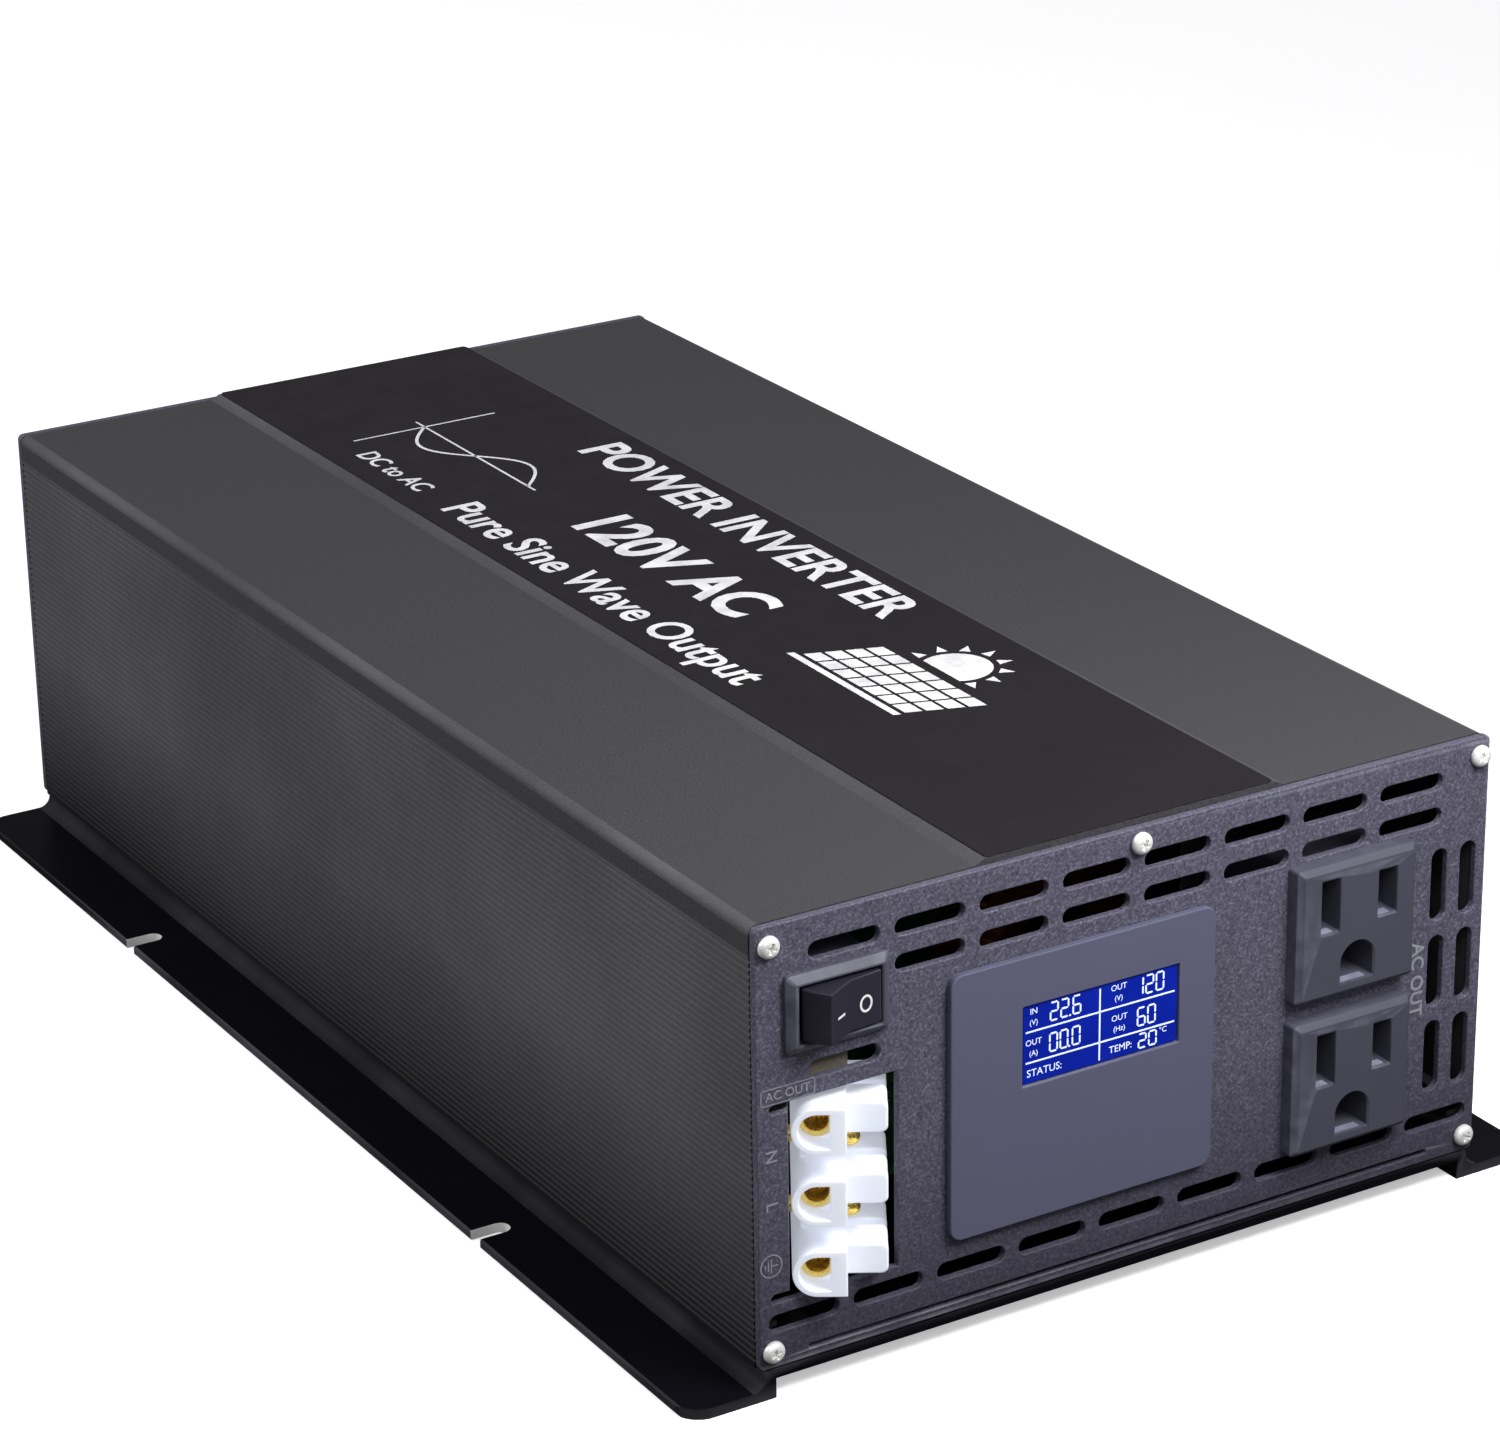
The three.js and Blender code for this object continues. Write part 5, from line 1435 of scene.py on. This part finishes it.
def wire_barrel():
    """A plain brass sleeve round the Y axis, with a tapped hole under each tower."""
    soft = 0.25
    front, back = SNOUT_DEPTH + 0.1, BLOCK_LENGTH - 3.9
    tube = tube_ring([(BARREL_BORE + soft, front), (BARREL_R - soft, front), (BARREL_R, front + soft),
                      (BARREL_R, back - soft), (BARREL_R - soft, back), (BARREL_BORE + soft, back),
                      (BARREL_BORE, back - soft), (BARREL_BORE, front + soft)], 40)
    return boolean(tube, [rod_x(1.75, 0, BARREL_R + 1, y, 0) for y in CLAMP_YS])


def terminal_metal():
    grub, barrel, mount = clamp_screw(), wire_barrel(), pan_screw(2.4, 2.6, 1.5, 12)
    for i, z in enumerate(POLE_ZS):
        add(f"wire_barrel_{i + 1}", moved(barrel, TERMINALS @ place(POLE_R, 0, z)), "brass",
            replaces=[f"terminal_barrel_{i + 1}"])
        here = TERMINALS @ place(CLAMP_TIP, CLAMP_YS[0], z) @ rotation("Z", -90)
        add(f"clamp_screw_{i + 1}", moved(grub, here), "brass", f"clamp_screw_{i + 1}",
            [f"terminal_screw_{i + 1}"])
    for i, z in enumerate(GAP_ZS):
        here = TERMINALS @ place(MOUNT_SEAT + 0.1, MOUNT_Y, z) @ rotation("Z", 90)
        add(f"block_screw_{i + 1}", moved(mount, here @ rotation("Y", 25)), "brass",
            replaces=[f"terminal_mount_screw_{i + 1}"])


# -- Fan -----------------------------------------------------

FAN_LOW, FAN_HIGH = box_mm("fan_frame")
FAN_BORE = 28.4
HUB_R = 12.0
BLADES = 7


def turned_about_fan(mesh, degrees):
    return moved(mesh, place(FAN_X, 0, FAN_Z) @ rotation("Y", degrees))


def fan_frame():
    outline = rounded_rect(FAN_LOW.x, FAN_HIGH.x, FAN_LOW.z, FAN_HIGH.z, 4, 6)
    holes = [circle(FAN_X, FAN_Z, FAN_BORE, 72)]
    holes += [circle(x, z, FAN_HOLE_R, 20) for x, z in FAN_CORNERS]
    body = upright_plate(outline, holes, FAN_LOW.y, FAN_HIGH.y, 0.5)
    y = FAN_LOW.y
    hub = lathe([(0, y), (HUB_R - 0.3, y), (HUB_R, y + 0.3), (HUB_R, y + 3), (1.5, y + 3),
                 (1.5, y + 8), (0, y + 8)], 48)
    strut = block(HUB_R - 1, FAN_BORE + 1, y + 0.2, y + 2.8, -1.2, 1.2)
    parts = [moved(hub, place(FAN_X, 0, FAN_Z))]
    parts += [turned_about_fan(strut, deg) for deg in (45, 135, 225, 315)]
    add("fan_housing", boolean(body, parts, "UNION"), "fan_plastic", replaces=["fan_frame"])


BLADE_STATIONS = 9
BLADE_CLEARANCE = 1.2
BLADE_PITCH = 50
BLADE_TWIST = 22
BLADE_CHORD = 12.5
BLADE_FLARE = 3.5
BLADE_CAMBER = 1.6
BLADE_HALF_T = 0.75
BLADE_EDGE_HALF_T = 0.12


def fan_blade(y_mid):
    """One cambered blade, pitched steeply at the hub and flatter at its tip."""
    loops = []
    root = HUB_R - BLADE_CLEARANCE
    for k in range(BLADE_STATIONS):
        share = k / (BLADE_STATIONS - 1)
        r = root + (FAN_BORE - BLADE_CLEARANCE - HUB_R + BLADE_CLEARANCE) * share
        pitch = math.radians(BLADE_PITCH - BLADE_TWIST * share)
        chord = BLADE_CHORD + BLADE_FLARE * share
        loop = []
        for side in (1, -1):
            for i in range(9):
                u = (i / 8 - 0.5) * side
                swell = 1 - (2 * u) ** 2
                thick = side * (BLADE_HALF_T * math.sqrt(max(0.0, swell)) + BLADE_EDGE_HALF_T)
                along, off = u * chord, thick + BLADE_CAMBER * swell
                tangent = along * math.cos(pitch) - off * math.sin(pitch)
                axial = along * math.sin(pitch) + off * math.cos(pitch)
                a = tangent / r + 0.12 * share
                loop.append((r * math.cos(a), y_mid + axial, r * math.sin(a)))
        loops.append(loop)
    return loft(loops)


def fan_rotor():
    low, high = box_mm("fan_rotor")
    y_mid = (low.y + high.y) / 2
    hub = lathe([(0, high.y), (HUB_R - 1.5, high.y), (HUB_R - 0.4, high.y - 0.4),
                 (HUB_R, high.y - 1.5), (HUB_R, low.y), (2.0, low.y), (2.0, low.y + 5.2),
                 (0, low.y + 5.2)], 56)
    blade = fan_blade(y_mid)
    blades = [moved(blade, rotation("Y", 360 * i / BLADES)) for i in range(BLADES)]
    shape = boolean(hub, blades, "UNION")
    add("fan_wheel", moved(shape, place(FAN_X, 0, FAN_Z)), "fan_plastic", "fan", ["fan_rotor"])


def fan_guard():
    ring_y, spoke_y, eye_y = REAR + 2.4, REAR + 1.3, REAR + 1.2
    parts = [wire(wall_y(circle(0, 0, r, 64), ring_y), 0.8, closed=True) for r in (7, 13, 19, 25)]
    reach = FAN_HOLE_PITCH / math.sqrt(2) - 2.6
    c = reach * math.sqrt(0.5)
    parts += [wire([(-c, spoke_y, -c * k), (0, spoke_y, 0), (c, spoke_y, c * k)], 0.9) for k in (1, -1)]
    eyes = [wire(wall_y(circle(x - FAN_X, z - FAN_Z, 2.9, 28), eye_y), 0.8, closed=True)
            for x, z in FAN_CORNERS]
    shape = boolean(parts[0], parts[1:] + eyes, "UNION")
    add("wire_guard", moved(shape, place(FAN_X, 0, FAN_Z)), "bright_steel", replaces=["fan_guard"])


# -- Battery terminals ---------------------------------------

STUD_MINOR = 3.3
STUD_PITCH = 1.25
HEX_R = 7.5
WASHER_R = 8.6


def battery_insulator(pole):
    node = f"dc_insulator_{pole}"
    low, high = box_mm(node)
    x = axis_place(node)[0]
    bore = STUD_MINOR + 0.8
    outline = rounded_rect(low.x, high.x, low.z, high.z, 4, 8)
    holes = [circle(u, v, bore, 36) for u, v in STUDS[pole]]
    plate = upright_plate(outline, holes, REAR + 0.1, high.y, 0.6)
    bushes = [ring_loft([wall_y(circle(u, v, r, 36), y) for r, y in
                         ((bore, low.y), (6.8, low.y), (6.8, REAR + 1), (bore, REAR + 1))])
              for u, v in STUDS[pole]]
    z = sum(v for _, v in STUDS[pole]) / 2
    arm, half, proud = 3.2, 0.55, 0.5
    bars = [block(x - arm, x + arm, high.y - 0.3, high.y + proud, z - half, z + half)]
    if pole == "positive":
        bars.append(block(x - half, x + half, high.y - 0.3, high.y + proud, z - arm, z + arm))
    slot = "red_plastic" if pole == "positive" else "black_nylon"
    add(f"stud_insulator_{pole}", boolean(plate, bushes + bars, "UNION"), slot, replaces=[node])


def hex_nut(y0, bore):
    """A chamfered hexagon nut on its flat washer, along Y, its seat at y0."""
    washer_t, gap, top = 1.6, 0.05, 8.0
    outline = circle(0, 0, HEX_R, 6)
    corner = HEX_R * 0.88
    limit = lathe([(0, y0 + washer_t), (corner, y0 + washer_t), (HEX_R, y0 + washer_t + 0.8),
                   (HEX_R, y0 + top - 0.8), (corner, y0 + top), (0, y0 + top)], 48)
    body = boolean(prism_y(outline, y0 + washer_t - 1, y0 + top + 1), [limit], "INTERSECT")
    soft = 0.2
    washer = lathe([(0, y0), (WASHER_R - soft, y0), (WASHER_R, y0 + soft),
                    (WASHER_R, y0 + washer_t + gap - soft), (WASHER_R - soft, y0 + washer_t + gap),
                    (0, y0 + washer_t + gap)], 48)
    mouth = lathe([(0, y0 + top - 0.6), (bore, y0 + top - 0.6), (bore + 0.9, y0 + top + 0.3),
                   (0, y0 + top + 0.3)], 40)
    return boolean(boolean(body, [washer], "UNION"), [rod(bore, y0 - 1, y0 + top + 1, steps=40), mouth])


def battery_terminals():
    low, high = box_mm("dc_stud_positive_1")
    seat = box_mm("dc_nut_positive_1")[0].y
    major = 3.9
    rod_mesh = threaded_rod(major, STUD_MINOR, STUD_PITCH, high.y - low.y, 0.9, 28)
    collar_y = REAR - PANEL_T - 4.6
    collar = prism_y(circle(0, 0, HEX_R, 6), collar_y, collar_y + 2.3)
    stud = boolean(moved(rod_mesh, place(0, low.y, 0)), [collar], "UNION")
    nut = hex_nut(seat, major + 0.15)
    for pole in POLES:
        battery_insulator(pole)
        for i, (x, z) in enumerate(STUDS[pole]):
            add(f"battery_stud_{pole}_{i + 1}", moved(stud, place(x, 0, z)), "brass",
                replaces=[f"dc_stud_{pole}_{i + 1}"])
            turned = place(x, 0, z) @ rotation("Y", 12 + 17 * i)
            add(f"battery_nut_{pole}_{i + 1}", moved(nut, turned), "brass",
                f"nut_{pole}_{i + 1}", [f"dc_nut_{pole}_{i + 1}"])


# -- Inner parts ---------------------------------------------
# They keep their CAD meshes, with softened edges.

KEPT = {
    "display_board": ("circuit_board", 0.15), "terminal_bracket": ("zinc_steel", 0.2),
    "insulation_sheet": ("fibre_sheet", 0.12), "main_board": ("circuit_board", 0.2),
    "transformer_1": ("ferrite", 0.6), "transformer_2": ("ferrite", 0.6),
    "heat_sink_left": ("bare_aluminium", 0.4), "heat_sink_right": ("bare_aluminium", 0.4),
    "bus_capacitor_1": ("can_sleeve", 0.5), "bus_capacitor_2": ("can_sleeve", 0.5),
    "output_choke": ("copper_winding", 0.3), "control_board": ("circuit_board", 0.2),
    "fuse_bank": ("fuse_plastic", 0.4),
}


def keep_inner_parts():
    for node, (slot, width) in KEPT.items():
        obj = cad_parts[node]
        obj.data.materials.clear()
        obj.data.materials.append(LOOKS[slot])
        weld = obj.modifiers.new("weld", "WELD")
        weld.merge_threshold = 1e-6
        flat = obj.modifiers.new("flat faces", "DECIMATE")
        flat.decimate_type = "DISSOLVE"
        flat.angle_limit = math.radians(1)
        edge = obj.modifiers.new("soft edges", "BEVEL")
        edge.width = width * MM
        edge.segments = 2
        edge.limit_method = "ANGLE"
        edge.angle_limit = math.radians(40)


# -- Floor, light and camera ---------------------------------

def pale_floor():
    look = Look("pale_floor", rgb(240, 240, 241), specular=0.1)
    look.mottle(300, rgb(237, 237, 239), 0.5)
    look.grain(3, 0.02, 0.1)
    look.glow(0.5)
    half = 4000
    mesh = mesh_from([(-half, -half, 0), (half, -half, 0), (half, half, 0), (-half, half, 0)],
                     [(0, 1, 2, 3)])
    obj = dressed("floor", mesh, look.done(0.8, 0.9, 200))
    obj.visible_diffuse = False
    obj.visible_glossy = False


def softbox(name, aim, azimuth, elevation, distance, size, power):
    """A square area light aimed at a place. Azimuth 0 is in front of the case, 90 to its left."""
    data = bpy.data.lights.new(name, "AREA")
    data.shape = "SQUARE"
    data.size = size * MM
    data.energy = power
    obj = linked(name, data)
    a, e = math.radians(azimuth), math.radians(elevation)
    back = Vector((-math.sin(a) * math.cos(e), -math.cos(a) * math.cos(e), math.sin(e)))
    obj.location = (Vector(aim) + back * distance) * MM
    obj.rotation_euler = (-back).to_track_quat("-Z", "Y").to_euler()


def lights():
    panel = (0, FRONT, TOP * 0.6)
    middle = (0, MIDDLE, TOP / 2)
    softbox("key", panel, azimuth=-20, elevation=54, distance=310, size=150, power=1.45)
    softbox("fill", middle, azimuth=25, elevation=35, distance=1700, size=1100, power=5)
    softbox("back", middle, azimuth=116, elevation=33, distance=1500, size=900, power=15)


def studio_world():
    """A backdrop that is bright overhead and dark at and below the horizon."""
    world = bpy.data.worlds.new("studio")
    world.use_nodes = True
    tree = world.node_tree
    sky = tree.nodes.new("ShaderNodeTexCoord")
    parts = tree.nodes.new("ShaderNodeSeparateXYZ")
    ramp = tree.nodes.new("ShaderNodeMapRange")
    for name, value in (("From Min", -0.05), ("From Max", 0.9), ("To Min", 0.1), ("To Max", 0.5)):
        ramp.inputs[name].default_value = value
    tree.links.new(sky.outputs["Generated"], parts.inputs[0])
    tree.links.new(parts.outputs["Z"], ramp.inputs["Value"])
    backdrop = tree.nodes["Background"]
    backdrop.inputs["Color"].default_value = (1, 1, 1, 1)
    tree.links.new(ramp.outputs[0], backdrop.inputs["Strength"])
    SCENE.world = world


CAMERA_FROM_PANEL = Vector((-446.87, -615.89, 418.45))
CAMERA_AZIMUTH = 30.94
CAMERA_ELEVATION = 22.12
CAMERA_ROLL = -0.87
CAMERA_LENS = 115.16
CAMERA_SENSOR = 36


def camera():
    data = bpy.data.cameras.new("camera")
    data.lens = CAMERA_LENS
    data.sensor_width = CAMERA_SENSOR
    data.clip_start = 0.01
    data.clip_end = 20
    obj = linked("camera", data)
    a, e, r = (math.radians(v) for v in (CAMERA_AZIMUTH, CAMERA_ELEVATION, CAMERA_ROLL))
    forward = Vector((math.sin(a) * math.cos(e), math.cos(a) * math.cos(e), -math.sin(e)))
    level = forward.cross(Vector((0, 0, 1))).normalized()
    upright = level.cross(forward)
    right = math.cos(r) * level + math.sin(r) * upright
    up = math.cos(r) * upright - math.sin(r) * level
    axes = Matrix((right, up, -forward)).transposed().to_4x4()
    where = Vector((0, FRONT, 0)) + CAMERA_FROM_PANEL
    obj.matrix_world = Matrix.Translation(where * MM) @ axes
    SCENE.camera = obj


# -- Assembly ------------------------------------------------

for build in (case_shell, base_tray, slot_edges, label, label_print, front_panel, rear_panel,
              front_print, screws, display_bezel, lcd_module, lcd_print, switch_housing, rocker,
              outlets, terminal_block, terminal_metal, fan_frame, fan_rotor, fan_guard,
              battery_terminals, keep_inner_parts, pale_floor, lights, studio_world, camera):
    build()
SCENE.view_settings.view_transform = "Standard"
